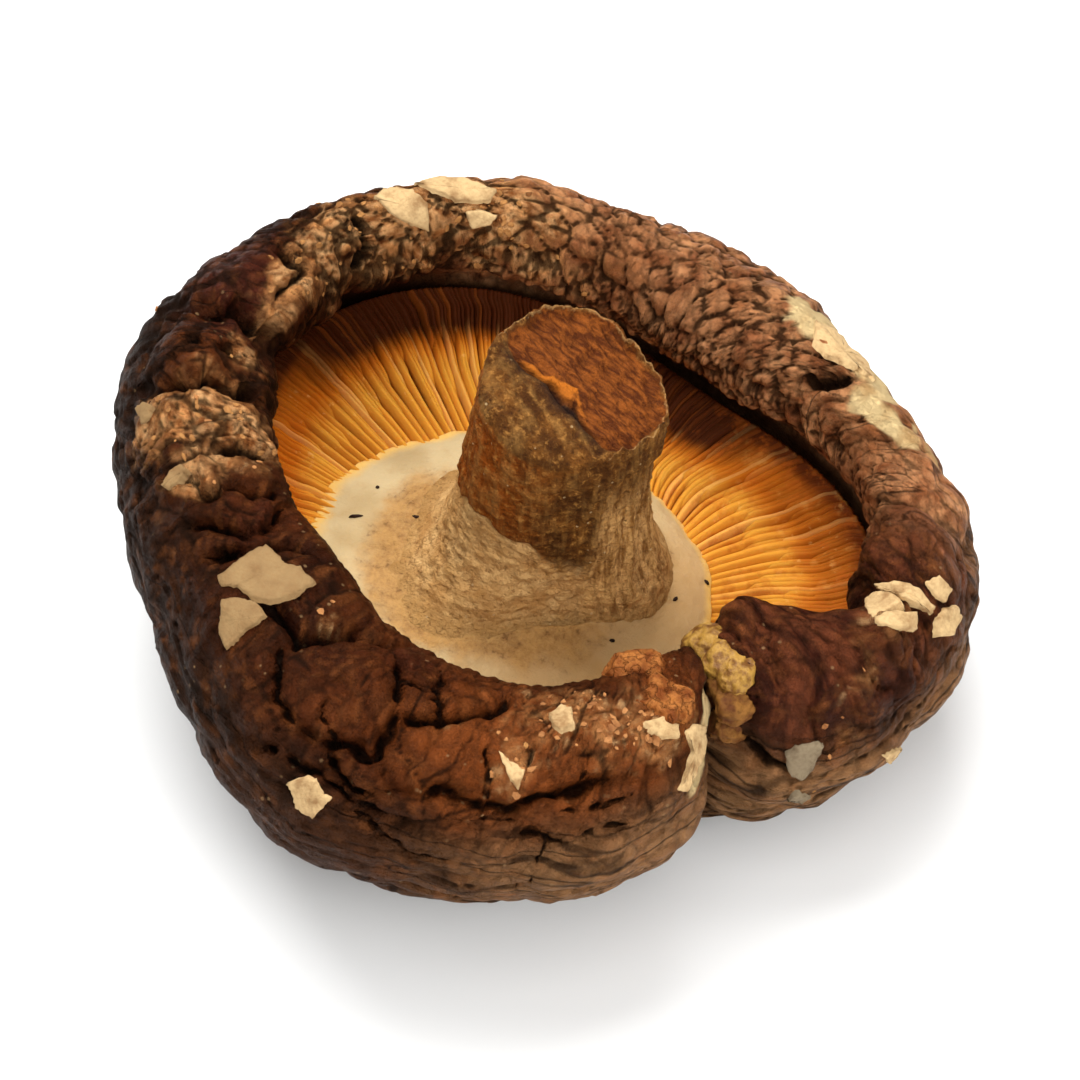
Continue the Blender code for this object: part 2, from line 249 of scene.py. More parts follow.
# Folds that run up or along the skin: region, cells round, mm up, height, and a seed.
FOLDS = (
    ("right", 84, 14.0, 0.75, 140),
    ("right_lobe", 64, 10.0, 0.9, 143),
    ("right_lobe", 120, 4.0, 0.6, 144),
    ("left", 34, 10.0, 0.70, 146),
    ("wall", 9, 2.4, 0.40, 149),
    ("wall", 16, 1.3, 0.20, 152),
)

# Where the skin's colour changes, as (pixel, radius, strength).
WARM_SPOTS = (
    ((690, 628), 4.5, 0.2), ((716, 640), 4.0, 0.3), ((738, 652), 5.5, 1.0), ((760, 658), 5.0, 1.0),
    ((778, 650), 4.0, 0.9), ((795, 640), 3.0, 1.0), ((790, 622), 2.5, 0.8), ((722, 615), 4.0, 0.3),
    ((647, 525), 3.5, 0.5), ((740, 490), 4.0, 0.6), ((780, 500), 5.0, 0.5), ((815, 512), 5.0, 0.4),
    ((690, 500), 3.0, 0.4), ((861, 552), 3.0, 0.6),
)
PURPLE_SPOTS = (
    ((664, 500), 4.5, 1.0), ((655, 515), 3.0, 0.8), ((668, 578), 3.0, 0.5), ((850, 615), 4.5, 0.7),
    ((840, 640), 5.0, 0.8), ((866, 636), 5.0, 0.7), ((875, 590), 4.0, 0.5), ((712, 622), 3.0, 0.5),
)
CRUST_SPOTS = (
    ((632, 547), 2.8, 0.75), ((645, 544), 3.0, 0.8), ((657, 547), 3.0, 0.85),
    ((666, 553), 2.2, 0.9), ((640, 566), 2.2, 0.8), ((652, 560), 1.8, 0.6), ((664, 528), 1.5, 0.6),
    ((672, 515), 1.8, 0.8), ((680, 504), 1.8, 0.8), ((688, 493), 2.2, 0.9), ((696, 484), 2.8, 1.0),
    ((710, 488), 3.0, 1.0), ((724, 484), 3.2, 1.0), ((740, 486), 3.2, 1.0), ((756, 488), 2.4, 0.7),
    ((770, 495), 1.8, 0.5), ((690, 504), 2.0, 0.8), ((703, 499), 2.2, 0.9), ((718, 496), 2.2, 0.9),
    ((735, 497), 2.2, 0.9), ((752, 499), 2.0, 0.8), ((768, 503), 1.6, 0.6),
)

# Where small pale grains stick to the skin.
GRIT_SPOTS = (
    ((766, 643), 3.2, 1.0), ((779, 647), 3.0, 1.0), ((791, 652), 2.2, 0.9), ((800, 641), 2.0, 0.6),
    ((750, 652), 2.0, 0.6), ((745, 662), 1.6, 0.9), ((732, 643), 2.0, 0.4), ((861, 632), 2.0, 0.6),
    ((866, 612), 2.6, 0.6), ((850, 650), 2.2, 0.4), ((690, 612), 1.2, 0.5), ((662, 560), 2.0, 0.5),
    ((640, 548), 2.0, 0.5),
)

# Where the skin has peeled to a pale layer, as (radius, pixels along it).
PEELED = (
    (1.55, ((842, 514), (850, 519), (858, 526), (863, 533), (867, 540))),
    (0.90, ((858, 541), (864, 546), (869, 550), (873, 554))),
    (0.30, ((880, 549), (885, 558), (888, 568))),
    (0.40, ((809, 622), (810, 636), (809, 652), (805, 668))),
)

# Pale flakes that lie on the skin, as (thickness, pixels of the corners).
FLAKES = (
    (0.20, ((652, 600), (657, 596), (662, 592), (667, 590), (671, 593), (673, 596), (678, 597),
            (683, 602), (676, 606), (668, 608), (663, 607), (658, 603), (653, 603))),
    (0.20, ((653, 607), (660, 607), (664, 608), (667, 612), (665, 614), (661, 617), (658, 620),
            (654, 623), (652, 617), (653, 612))),
    (0.18, ((674, 666), (680, 664), (683, 665), (685, 669), (688, 671), (685, 674), (682, 677),
            (677, 674), (676, 670))),
    (0.25, ((702, 478), (705, 476), (709, 475), (714, 476), (719, 480), (719, 489), (714, 487),
            (708, 484), (704, 480))),
    (0.25, ((715, 474), (721, 472), (729, 472), (736, 474), (741, 476), (739, 479), (734, 480),
            (728, 479), (721, 476))),
    (0.30, ((731, 483), (736, 482), (741, 484), (739, 487), (733, 488))),
    (0.20, ((843, 518), (849, 521), (856, 526), (860, 532), (862, 537), (857, 533), (852, 531),
            (847, 529), (843, 525))),
    (0.45, ((860, 608), (863, 606), (868, 605), (872, 609), (867, 612), (862, 614), (860, 612))),
    (0.50, ((863, 602), (870, 602), (876, 604), (881, 610), (880, 612), (875, 609), (869, 606),
            (864, 604))),
    (0.50, ((862, 614), (867, 612), (875, 612), (875, 617), (868, 617), (863, 616))),
    (0.50, ((881, 614), (883, 610), (887, 609), (889, 613), (886, 619), (882, 619))),
    (0.50, ((878, 602), (882, 600), (886, 604), (884, 608), (880, 606))),
    (0.40, ((801, 650), (804, 647), (807, 648), (807, 655), (804, 663), (801, 669), (799, 668),
            (802, 661), (803, 655))),
    (0.40, ((758, 645), (762, 642), (765, 643), (766, 648), (762, 650), (759, 648))),
    (0.40, ((788, 647), (794, 645), (799, 648), (799, 652), (794, 652), (790, 650))),
    (0.15, ((742, 656), (744, 658), (747, 660), (750, 662), (748, 668), (745, 664))),
    (0.26, ((865, 657), (868, 655), (871, 655), (872, 657), (868, 660), (866, 659))),
    (0.26, ((626, 546), (628, 544), (631, 545), (630, 549), (628, 551))),
    (0.30, ((634, 571), (636, 567), (640, 564), (642, 566), (639, 570), (636, 572))),
)
GREY_CHIPS = (
    (0.24, ((834, 657), (837, 654), (843, 653), (846, 654), (843, 660), (839, 665), (835, 663))),
    (0.20, ((834, 671), (838, 669), (842, 670), (839, 672))),
)
FLAKE_BEND = 0.5
FLAKE_FITS = 4
FLAKE_SIDE_POINTS = 5
FLAKE_RAGGEDNESS = 0.3
FLAKE_SHARES = (0.0, 0.35, 0.65, 0.88, 1.0, 1.03)
FLAKE_HEIGHTS = (1.0, 1.06, 0.96, 1.0, 0.8, -1.2)

# Grains on the skin: name, how many, sizes, where they lie, colours, and a seed.
GRAINS = (
    ("crumbs", 110, (0.10, 0.26), "crust", ((168, 118, 66), (104, 62, 30)), 77),
    ("grit", 80, (0.09, 0.30), "grit", ((170, 116, 68), (120, 72, 38)), 78),
)

# Gills: each group of three has one that reaches the stem and two shorter or lower ones.
GILL_COUNT = 420
GILL_ROWS = 30
GILL_COLUMNS = 1441
GILL_ROOT_HEIGHT = -0.25
GILL_TRACK_RADIUS = 9
GILL_WAVE_RADIUS = 14.0
GILL_SHARE_AT_FOOT = 0.45
GILL_SHARE_AT_RIM = 1.04
GILL_THICKNESS = 0.24
GILL_WAVE = 0.30
GILL_SECTION = (
    (2.6, 0.45), (1.7, 0.80), (0.8, 0.97), (0.0, 1.0), (-0.8, 0.97), (-1.7, 0.80), (-2.6, 0.45)
)

# The gills at the right, where they have smeared together.
SMEARED_SECTOR = (15.0, 45.0, 30.0)

# The faint, warm-coloured gloss that the dry flesh has.
WARM_SHEEN = (1.0, 0.8, 0.6, 1.0)
DRY_GLOSS = {"Specular_IOR_Level": 0.12, "Specular_Tint": WARM_SHEEN}

# Rows and columns of the veil and the stem.
VEIL_COLUMNS = 480
VEIL_ROWS = 90
STEM_COLUMNS = 300
STEM_SIDE_ROWS = 170
STEM_TOP_ROWS = 70

# Dark splinters on the veil: pixel of the photograph, length, and direction.
VEIL_SPECKS = (
    ((696, 580.5), 1.0, 35.0), ((715.5, 581), 0.7, 20.0), ((717.5, 592), 0.8, 70.0),
    ((730, 586), 0.6, 60.0), ((808.5, 601.5), 0.45, 0.0), ((798.5, 607), 0.5, 80.0),
    ((778, 620.5), 0.4, 30.0), ((713, 600), 0.4, 10.0), ((703, 571), 0.3, 50.0),
)
SPECK_WIDTH = 0.22
SPECK_HEIGHT = 0.12
SPECK_SINK = 0.1

# The stem's narrow waist on one side, its foot, and the rounded shoulder beside the cut.
WAIST_DIRECTION = 35.0
WAIST_LEVELS = (11.0, 15.0, 18.0, 21.0, 25.0)
WAIST_DEPTHS = (0.0, 0.9, 1.2, 0.9, 0.5)
FOOT_LEVELS = (8.0, 8.8, 9.3, 9.8, 10.5, 11.5, 13.0, 16.0)
FOOT_FLARES = (4.4, 3.4, 2.3, 1.6, 1.1, 0.75, 0.4, 0.0)
FOOT_DIRECTION = 215.0
FOOT_LEAST = 0.15
FRONT_DIRECTION = 308.0
FRONT_LEVELS = (8.0, 11.0, 17.0)
FRONT_INSETS = (2.1, 1.5, 0.0)
# Where the bark ends above the foot, as (direction, level), and where it is reddest.
TORN_LEVELS = (
    (20.0, 13.0), (90.0, 13.5), (150.0, 15.5), (215.0, 17.3), (285.0, 17.0), (308.0, 14.2),
    (350.0, 13.0),
)
RED_BARK_DIRECTION = 215.0
SHOULDER_DIRECTION = 262.0
SHOULDER_HEIGHT = 2.0
SHOULDER_SHARE = 0.32

# The lumps in the cleft: name, pixel, half sizes, how far they sink in, roughness, finish, slot.
CLEFT_LUMPS = (
    ("lip_curl_a", (787, 625), (2.3, 1.7, 1.4), 0.8, 0.22, "curl", "cap_skin"),
    ("lip_curl_b", (795, 637), (1.9, 1.7, 1.2), 0.8, 0.24, "curl", "cap_skin"),
    ("torn_flesh_a", (805, 620), (1.9, 1.6, 1.4), 0.9, 0.16, "torn", "gill_flesh"),
    ("torn_flesh_b", (813, 624), (1.6, 1.5, 1.2), 0.7, 0.16, "torn", "gill_flesh"),
    ("torn_flesh_c", (817, 632), (1.3, 1.4, 1.1), 0.6, 0.16, "torn", "gill_flesh"),
    ("cleft_fold_a", (818, 642), (1.3, 1.9, 1.2), 0.8, 0.2, "fold", "cap_skin"),
    ("cleft_fold_b", (814, 650), (1.2, 1.8, 1.1), 0.8, 0.2, "fold", "cap_skin"),
    ("cleft_fold_c", (812, 634), (1.6, 1.6, 1.6), 1.2, 0.2, "fold", "cap_skin"),
)
LUMP_ROWS = 60
LUMP_COLUMNS = 90

# The stage, in metres and watts: half the floor's width, how far it lies below the mushroom and
# its colour, the lights as (name, place, size, power), the point that they shine at, and the
# strength of the light from all round.
FLOOR_HALF = 3.0
FLOOR_DROP = 0.00005
FLOOR_COLOUR = (0.86, 0.86, 0.85, 1.0)
LIGHTS = (
    ("key", (-0.17, 0.11, 0.37), 0.36, 2.8),
    ("fill", (0.12, -0.16, 0.40), 0.34, 0.8),
    ("side", (0.34, -0.06, 0.20), 0.22, 1.0),
    ("front", (0.02, -0.40, 0.24), 0.35, 0.5),
)
LIGHT_AIM = (0.0, 0.0, 0.012)
WORLD_STRENGTH = 0.26

# What the repeatable random numbers are mixed from.
HASH_FACTORS = (374761393, 668265263, 974634773)
HASH_SEED_FACTOR = 1442695041
HASH_MIX_FACTOR = 1274126177
HASH_MASK = 0xFFFFFFFF


def place(points):
    """Points from the middle of the crown, in millimetres, as points of the frame."""
    return (points - np.array([*ORIGIN, 0.0])) * MM


def lobed(angle, radius, lobes):
    """Radius of an outline that swells by a cosine for each of its lobes."""
    for waves, height, direction in lobes:
        radius = radius + height * np.cos(waves * (angle - math.radians(direction)))
    return radius


def cleft(angle, half_widths=CLEFT_HALF_WIDTHS):
    """1 in the bottom of the cleft, falling to 0 along a round lobe on each side."""
    off = angle - math.radians(CLEFT_DIRECTION)
    off = (off + math.pi) % (2 * math.pi) - math.pi
    half_width = np.radians(np.where(off < 0, *half_widths))
    reach = np.clip(np.abs(off) / half_width, 0, 1)
    return 1 - np.sqrt(1 - (1 - reach) ** 2)


def around(centre, radius, angle):
    """Points in plan at these angles and this distance from a centre."""
    return np.stack([centre[0] + radius * np.cos(angle), centre[1] + radius * np.sin(angle)], -1)


def plan_ring(kind, share, cleft_share, angle):
    """Plan of one ring: a circle round the stem, a share of an outline, or between the two."""
    fold = cleft_share * cleft(angle)
    outer = lobed(angle, CAP_RADIUS, CAP_LOBES) - CLEFT_DEPTH * fold
    lip = lobed(angle, LIP_RADIUS, LIP_LOBES) - CLEFT_LIP_DEPTH * fold
    for direction, width, distance in LIP_STEPS:
        off = (np.degrees(angle) - direction + 180) % 360 - 180
        lip = lip + distance * bell(off, width)
    if kind == "foot":
        return around(STEM_BASE, GILL_INNER_RADIUS * share, angle)
    if kind == "crown":
        return around((0.0, 0.0), outer * share, angle)
    if kind == "bed":
        return around(LIP_CENTRE, lip * share, angle)
    inner_edge = around(LIP_CENTRE, lip, angle)
    outer_edge = around((0.0, 0.0), outer, angle)
    return inner_edge + share * (outer_edge - inner_edge)


def lean(points, weight=1.0):
    """Points turned about the crown's middle, towards the side the mushroom leans to."""
    turn = math.radians(LEAN) * weight
    way = math.radians(LEAN_DIRECTION)
    along = points[..., 0] * math.cos(way) + points[..., 1] * math.sin(way)
    height = points[..., 2]
    moved = along * math.cos(turn) + height * math.sin(turn)
    leaned = points.copy()
    leaned[..., 0] += (moved - along) * math.cos(way)
    leaned[..., 1] += (moved - along) * math.sin(way)
    leaned[..., 2] = height * math.cos(turn) - along * math.sin(turn)
    return leaned


def ring(kind, share, height, angle, cleft_share=0.0, weight=1.0):
    """One closed ring of points, one for each angle, lowered where the cleft is."""
    plan = plan_ring(kind, share, cleft_share, angle)
    drop = CLEFT_DROP * np.interp(height, CLEFT_DROP_HEIGHTS, (0, 1))
    level = height - drop * cleft_share * cleft(angle, CLEFT_DROP_HALF_WIDTHS)
    level = np.broadcast_to(level, angle.shape)
    return lean(np.concatenate([plan, level[..., None]], -1), weight)


def through(rings, places):
    """Catmull-Rom curves through the rings, column by column, read at these places."""
    rings = np.asarray(rings)
    held = np.concatenate([2 * rings[:1] - rings[1:2], rings, 2 * rings[-1:] - rings[-2:-1]])
    span = np.minimum(np.floor(places).astype(int), len(rings) - 2)
    t = (places - span)[:, None, None]
    a, b, c, d = (held[span + step] for step in range(4))
    curve = 2 * b + (c - a) * t + (2 * a - 5 * b + 4 * c - d) * t**2
    return 0.5 * (curve + (3 * b - a - 3 * c + d) * t**3)


def smooth_step(value, low, high):
    """0 below low and 1 above high, with the cubic 3t^2 - 2t^3 between them."""
    t = np.clip((value - low) / (high - low), 0, 1)
    return t * t * (3 - 2 * t)


def band(value, start, full, fading, end):
    """1 from full to fading, falling to 0 at start and at end."""
    return smooth_step(value, start, full) * (1 - smooth_step(value, fading, end))


def bell(distance, width):
    """1 at distance 0, falling off on both sides by exp(-(d/w)^2)."""
    return np.exp(-((distance / width) ** 2))


def hashed(cell, seed, across=None):
    """A repeatable random number from 0 to 1 for each cell of a lattice.

    Where across is given, the lattice repeats after that many cells in its first direction.
    """
    if across:
        cell = np.concatenate([cell[..., :1] % across, cell[..., 1:]], -1)
    n = seed * HASH_SEED_FACTOR
    for axis in range(cell.shape[-1]):
        n = n + cell[..., axis] * HASH_FACTORS[axis]
    n = n & HASH_MASK
    n = ((n ^ (n >> 13)) * HASH_MIX_FACTOR) & HASH_MASK
    return (n ^ (n >> 16)) / 2**32


def smooth_noise(at, seed, across=None):
    """Noise from -1 to 1: random values at the corners of unit cells, blended by 3t^2 - 2t^3."""
    cell = np.floor(at).astype(np.int64)
    part = at - cell
    part = part * part * (3 - 2 * part)
    total = np.zeros(at.shape[:-1])
    for corner in np.ndindex(*[2] * at.shape[-1]):
        weight = np.prod(np.where(corner, part, 1 - part), axis=-1)
        total = total + weight * hashed(cell + np.array(corner), seed, across)
    return 2 * total - 1


def irregular_cells(at, seed, across=None):
    """Cells round one random heart in each unit cell of a lattice.

    Gives how far each point is from its cell's border, half the difference between its distances
    to the two nearest hearts, then a random number from 0 to 1 that is the same all over the
    cell, and a slope from about -0.5 to 0.5 across it.
    """
    axes = at.shape[-1]
    cell = np.floor(at).astype(np.int64)
    nearest = np.full(at.shape[:-1], 1e9)
    second = nearest.copy()
    tone = np.zeros(nearest.shape)
    slope = np.zeros(nearest.shape)
    for step in np.ndindex(*[3] * axes):
        neighbour = cell + np.array(step) - 1
        random = [hashed(neighbour, seed + number, across) for number in range(2 * axes + 1)]
        off = neighbour + np.stack(random[:axes], -1) - at
        distance = np.linalg.norm(off, axis=-1)
        second = np.minimum(second, np.maximum(nearest, distance))
        way = np.stack(random[axes + 1:], -1) - 0.5
        tone = np.where(distance < nearest, random[axes], tone)
        slope = np.where(distance < nearest, np.sum(off * way, axis=-1), slope)
        nearest = np.minimum(nearest, distance)
    return (second - nearest) / 2, tone, slope


def swell(points, size, seed):
    """Smooth noise from -1 to 1 whose cells are size millimetres wide."""
    return smooth_noise(points / size, seed)


def swells(points, *layers):
    """Sum of smooth noises, each given as (height, size, seed)."""
    return sum(height * swell(points, size, seed) for height, size, seed in layers)


def ridges(points, *layers):
    """Sum of ridged noises, each given as (height, size, seed)."""
    return sum(height * ridged(swell(points, size, seed)) for height, size, seed in layers)


def on_lattice(turn, climb, across, size):
    """Places on a lattice that follows a round surface.

    It has a whole number of cells round, at turn 0 to 1, and one cell for each size millimetres
    up the section, so a large size draws what lies on it out into lines.
    """
    return np.stack(np.broadcast_arrays(turn * across, climb / size), -1)


def ripple(turn, climb, across, size, seed):
    """Smooth noise from -1 to 1 that follows a round surface."""
    return smooth_noise(on_lattice(turn, climb, across, size), seed, across)


def ring_noise(turn, *layers):
    """Sum of smooth noises round a ring, each given as (height, how many cells round, seed)."""
    return sum(height * ripple(turn, 0 * turn, across, 1.0, seed) for height, across, seed in layers)


def ridged(value):
    """Noise from -1 to 1 folded so that it peaks in thin ridges: 1 - 2|n|."""
    return 1 - 2 * np.abs(value)


def sector(angle, middle, half, soft):
    """1 within half degrees of a direction round the cap, falling to 0 over soft degrees."""
    off = np.abs((np.degrees(angle) - middle + 180) % 360 - 180)
    return 1 - smooth_step(off, half, half + soft)


def normals_of(rings):
    """Unit normals of closed rings: the cross product of the two ways along them."""
    along = np.gradient(rings, axis=0)
    across = np.roll(rings, -1, axis=1) - np.roll(rings, 1, axis=1)
    normal = np.cross(across, along)
    return normal / np.maximum(np.linalg.norm(normal, axis=-1, keepdims=True), 1e-9)


def view_axes():
    """Right, up and towards the camera, as seen in the reference photograph."""
    azimuth, elevation = math.radians(AZIMUTH), math.radians(ELEVATION)
    right = np.array([math.cos(azimuth), math.sin(azimuth), 0.0])
    back = np.array([
        math.sin(azimuth) * math.cos(elevation),
        -math.cos(azimuth) * math.cos(elevation),
        math.sin(elevation),
    ])
    return right, np.cross(back, right), back


def photo_pixels(points):
    """Pixel of the photograph where each point shows, and how near it is to the camera."""
    right, up, back = view_axes()
    off = points - np.array(AIM)
    near = off @ back
    spread = PHOTO_SCALE * CAMERA_DISTANCE / (CAMERA_DISTANCE - near)
    x = PHOTO_CENTRE[0] + (off @ right) * spread
    y = PHOTO_CENTRE[1] - (off @ up) * spread
    return x, y, near


def distance_to_chain(points, chain):
    """Distance from each point to a chain of straight stretches, and the share along it."""
    best = np.full(len(points), 1e9)
    share = np.zeros(len(points))
    stretches = len(chain) - 1
    for i in range(stretches):
        start, way = chain[i], chain[i + 1] - chain[i]
        t = np.clip((points - start) @ way / max(way @ way, 1e-9), 0, 1)
        distance = np.linalg.norm(points - start - t[:, None] * way, axis=-1)
        nearer = distance < best
        best = np.where(nearer, distance, best)
        share = np.where(nearer, (i + t) / stretches, share)
    return best, share


class Skin:
    """The cap's surface as arrays: rings of points, their normals, and what colours them."""

    def __init__(self):
        even = np.arange(CAP_COLUMNS) * 2 * math.pi / CAP_COLUMNS
        self.angle = math.radians(CLEFT_DIRECTION) + even - COLUMN_CROWDING * np.sin(even)
        held = [ring(k, s, h, self.angle, c, w) for k, s, h, c, w in CAP_RINGS]
        self.place = self.even_rows(np.array(held))
        self.points = through(held, self.place)
        self.points[self.place <= FLAT_RING, :, 2] = 0.0
        self.shape = self.points.shape[:2]
        steps = np.linalg.norm(np.diff(self.points, axis=0), axis=-1).mean(1)
        climb = np.concatenate([[0], np.cumsum(steps)])[:, None]
        self.climb = np.broadcast_to(climb, self.shape)
        self.turn = np.broadcast_to((self.angle / (2 * math.pi)) % 1.0, self.shape)
        self.crack = np.zeros(self.shape)
        self.gap = np.full(self.shape, WIDEST_GAP)
        self.macro_relief()
        self.base = self.points.copy()
        self.smooth_normal = normals_of(self.points)
        self.look()
        self.warm = self.spots(WARM_SPOTS, 101)
        self.purple = self.spots(PURPLE_SPOTS, 105)
        self.crust = self.spots(CRUST_SPOTS, 109)
        self.grit = self.spots(GRIT_SPOTS, 115)
        self.peeled = self.strips(PEELED, 113)
        self.add_creases()
        self.fine_relief()
        self.normal = normals_of(self.points)

    def even_rows(self, held):
        """Places for the rows, evenly spaced along the section within each stretch."""
        fine = np.linspace(0, len(held) - 1, 1801)
        line = through(held, fine)
        arc = np.linalg.norm(np.diff(line, axis=0), axis=-1).mean(1)
        arc = np.concatenate([[0], np.cumsum(arc)])
        rows = []
        for first, last, count in CAP_ROWS:
            start, stop = np.interp((first, last), fine, arc)
            rows.append(np.interp(np.linspace(start, stop, count, endpoint=False), arc, fine))
        return np.concatenate([*rows, [float(len(held) - 1)]])

    def push(self, relief):
        """Moves the skin along its normals by a relief in millimetres, never into the floor."""
        self.points = self.points + normals_of(self.points) * relief[..., None]
        self.points[..., 2] = np.maximum(self.points[..., 2], 0.0)

    def macro_relief(self):
        """Broad swells, and grooves between plates of about 7 mm, as on the solids.

        At a distance d from a plate's border the skin sinks by exp(-(d/w)^2) for a broad groove
        and by exp(-d/w) for a narrow one inside it.
        """
        place = self.place[:, None]
        fade = np.clip(place - FLAT_RING, 0, 1) * np.clip(SKIN_RINGS - place, 0, 1)
        flattened = self.points * np.array([1.0, 1.0, PLATE_FLATTENING])
        warp = swell(self.points, PLATE_WARP_SIZE, 3)[..., None] * np.array(PLATE_WARP)
        plate = (flattened + warp) / PLATE_SIZE
        border = PLATE_SIZE * irregular_cells(plate, 11)[0]
        wavy_border = border + 0.18 * swell(self.points, 0.9, 21)
        seen = sector(self.angle, *FRONT_SECTOR) * smooth_step(place, 3.6, 5.0)
        seen = np.maximum(seen, smooth_step(place, 6.0, 7.0))
        own_creases = 1 - GROOVE_LOSS * seen
        broad = BROAD_GROOVE[1] * bell(border, BROAD_GROOVE[0])
        narrow = NARROW_GROOVE[1] * np.exp(-wavy_border / NARROW_GROOVE[0]) * own_creases
        relief = SWELL_HEIGHT * swell(self.points, SWELL_SIZE, 5) - broad - narrow
        self.crack = np.maximum(self.crack, bell(wavy_border, GROOVE_LINE) * own_creases * fade)
        self.push(relief * fade)

    def seen_at(self, pixel):
        """Row and column of the skin's nearest point to the camera at a photo pixel."""
        x, y, near = self.pixels
        off = np.hypot(x - pixel[0], y - pixel[1])
        off = np.where(self.faces_camera, off, 1e9)
        close = off < max(off.min() + PIXEL_SLACK, PIXEL_REACH)
        return np.unravel_index(np.argmax(np.where(close, near, -1e9)), off.shape)

    def look(self):
        """Notes where each point of the skin shows in the photograph."""
        self.pixels = photo_pixels(self.base)
        towards = self.smooth_normal @ view_axes()[2]
        rows = (self.place > SEEN_ROWS[0]) & (self.place < SEEN_ROWS[1])
        self.faces_camera = (towards > 0.02) & rows[:, None]

    def chain_through(self, pixels):
        """Points of the skin where the photograph shows these pixels."""
        return [self.base[self.seen_at(pixel)] for pixel in pixels]

    def add_creases(self):
        """Cuts each crease as exp(-(d/w)^2), tapered at its ends, along its own chain."""
        flat_points = self.base.reshape(-1, 3)
        wander = [
            swells(flat_points, (1.0, 1.6, 31 + axis), (0.5, 0.7, 41 + axis)) for axis in range(3)
        ]
        flat_points = flat_points + CREASE_WANDER * np.stack(wander, -1)
        relief = np.zeros(self.shape)
        pillow = np.zeros(self.shape)
        for width, depth, pixels in CREASES:
            distance, share = distance_to_chain(flat_points, self.chain_through(pixels))
            distance, share = distance.reshape(self.shape), share.reshape(self.shape)
            taper = np.clip(np.sin(math.pi * np.clip(share, 0.04, 0.96)) * 2.2, 0, 1)
            valley = np.exp(-distance / PILLOW_WIDTH) * taper
            pillow = np.maximum(pillow, PILLOW_SHARE * depth * valley)
            relief = np.minimum(relief, -CREASE_DEEPENING * depth * bell(distance, width) * taper)
            self.gap = np.minimum(self.gap, distance / (width * np.maximum(taper, 0.2)))
        self.push(relief - pillow)

    def strips(self, table, seed):
        """Strength of ragged-edged strips, each 1 within its radius of its own chain."""
        flat_points = self.base.reshape(-1, 3)
        ragged = swells(flat_points, (0.35, 1.2, seed), (0.25, 0.5, seed + 1))
        total = np.zeros(len(flat_points))
        for radius, pixels in table:
            distance, _ = distance_to_chain(flat_points, self.chain_through(pixels))
            total = np.maximum(total, 1 - smooth_step(distance / radius + ragged, 0.85, 1.1))
        return total.reshape(self.shape)

    def spots(self, table, seed):
        """Strength of soft spots with ragged edges, each exp(-(d/r)^2) round its place."""
        ragged = swells(self.base, (0.9, 2.0, seed), (0.6, 0.8, seed + 1))
        total = np.zeros(self.shape)
        for pixel, radius, strength in table:
            centre = self.base[self.seen_at(pixel)]
            distance = np.linalg.norm(self.base - centre, axis=-1) + ragged
            total = np.maximum(total, strength * bell(distance, radius))
        return total

    def regions(self):
        """Weights from 0 to 1 for each region of the skin, by direction and by row."""
        place = self.place[:, None]
        top_rows = band(place, 5.6, 7.0, 11.6, 12.4)
        seen = sector(self.angle, *SEEN_SECTOR) * smooth_step(place, 2.2, 4.0)
        seen = np.maximum(seen, smooth_step(place, 6.2, 7.4))
        weights = {name: sector(self.angle, *where) * top_rows for name, where in TOP_SECTORS.items()}
        weights["wall"] = sector(self.angle, *FRONT_SECTOR) * band(place, 2.6, 3.6, 6.2, 7.4)
        weights["unseen"] = (1 - seen) * band(place, 1.0, 2.4, 12.0, 12.6)
        weights["lip"] = band(place, 9.3, 10.0, 12.8, 13.6)
        return weights

    def fine_relief(self):
        """Wrinkles and folds by region, and a fine crinkle over everything.

        A wrinkle's crease at a distance d from a cell's border sinks by exp(-d/w), so that
        its two sides meet in a sharp line and the cell between creases stays rounded.
        """
        fade = band(self.place, 1.0, 2.0, 12.8, 13.8)[:, None]
        weights = self.regions()
        turn = self.turn + swells(self.base, (0.0042, 3.2, 51), (0.0013, 1.1, 53))
        climb = self.climb + swells(self.base, (0.75, 2.9, 52), (0.22, 1.0, 54))
        relief = np.zeros(self.shape)
        for region, across, size, depth, width, patchy, seed in WRINKLES:
            weight = weights[region]
            at = on_lattice(turn, climb, across, size)
            border, tone, slope = irregular_cells(at, seed, across)
            least = 1.5 * patchy - 1.6
            gate = smooth_step(swell(self.base, 4.5, seed + 2), least, least + 1.0) * weight
            relief -= depth * np.exp(-border / width) * gate
            relief += depth * (0.5 * (tone - 0.5) + 1.2 * slope) * weight
            line = bell(border, 0.55 * width) * gate * min(1.0, depth / 0.25)
            self.crack = np.maximum(self.crack, line)
        for region, across, size, height, seed in FOLDS:
            fold = np.abs(ripple(turn, climb, across, size, seed))
            relief += height * (np.sqrt(fold) - 0.6) * weights[region]
            self.crack = np.maximum(self.crack, 0.5 * bell(fold, 0.07) * weights[region])
        crinkle = ridges(self.base, (1.0, 1.9, 121), (0.6, 0.9, 122))
        relief += 0.08 * crinkle + 0.03 * swell(self.base, 0.5, 123)
        way = 2 * math.pi * turn
        self.drum = np.stack([DRUM_RADIUS * np.cos(way), DRUM_RADIUS * np.sin(way), climb], -1) * MM
        self.lined = weights["wall"]
        self.lobe = weights["right_lobe"]
        self.folded = np.maximum(weights["right"], weights["left"] * 0.9)
        self.folded = np.maximum(self.folded, weights["lip"] * 0.6)
        glossy = 0.55 * np.clip(self.purple, 0, 1) * (1 - self.lobe)
        relief = relief * fade * (1 - np.maximum(0.8 * self.peeled, glossy))
        self.crack = self.crack * fade * (1 - 0.9 * self.peeled)
        self.raised = relief / 0.3
        self.push(relief)


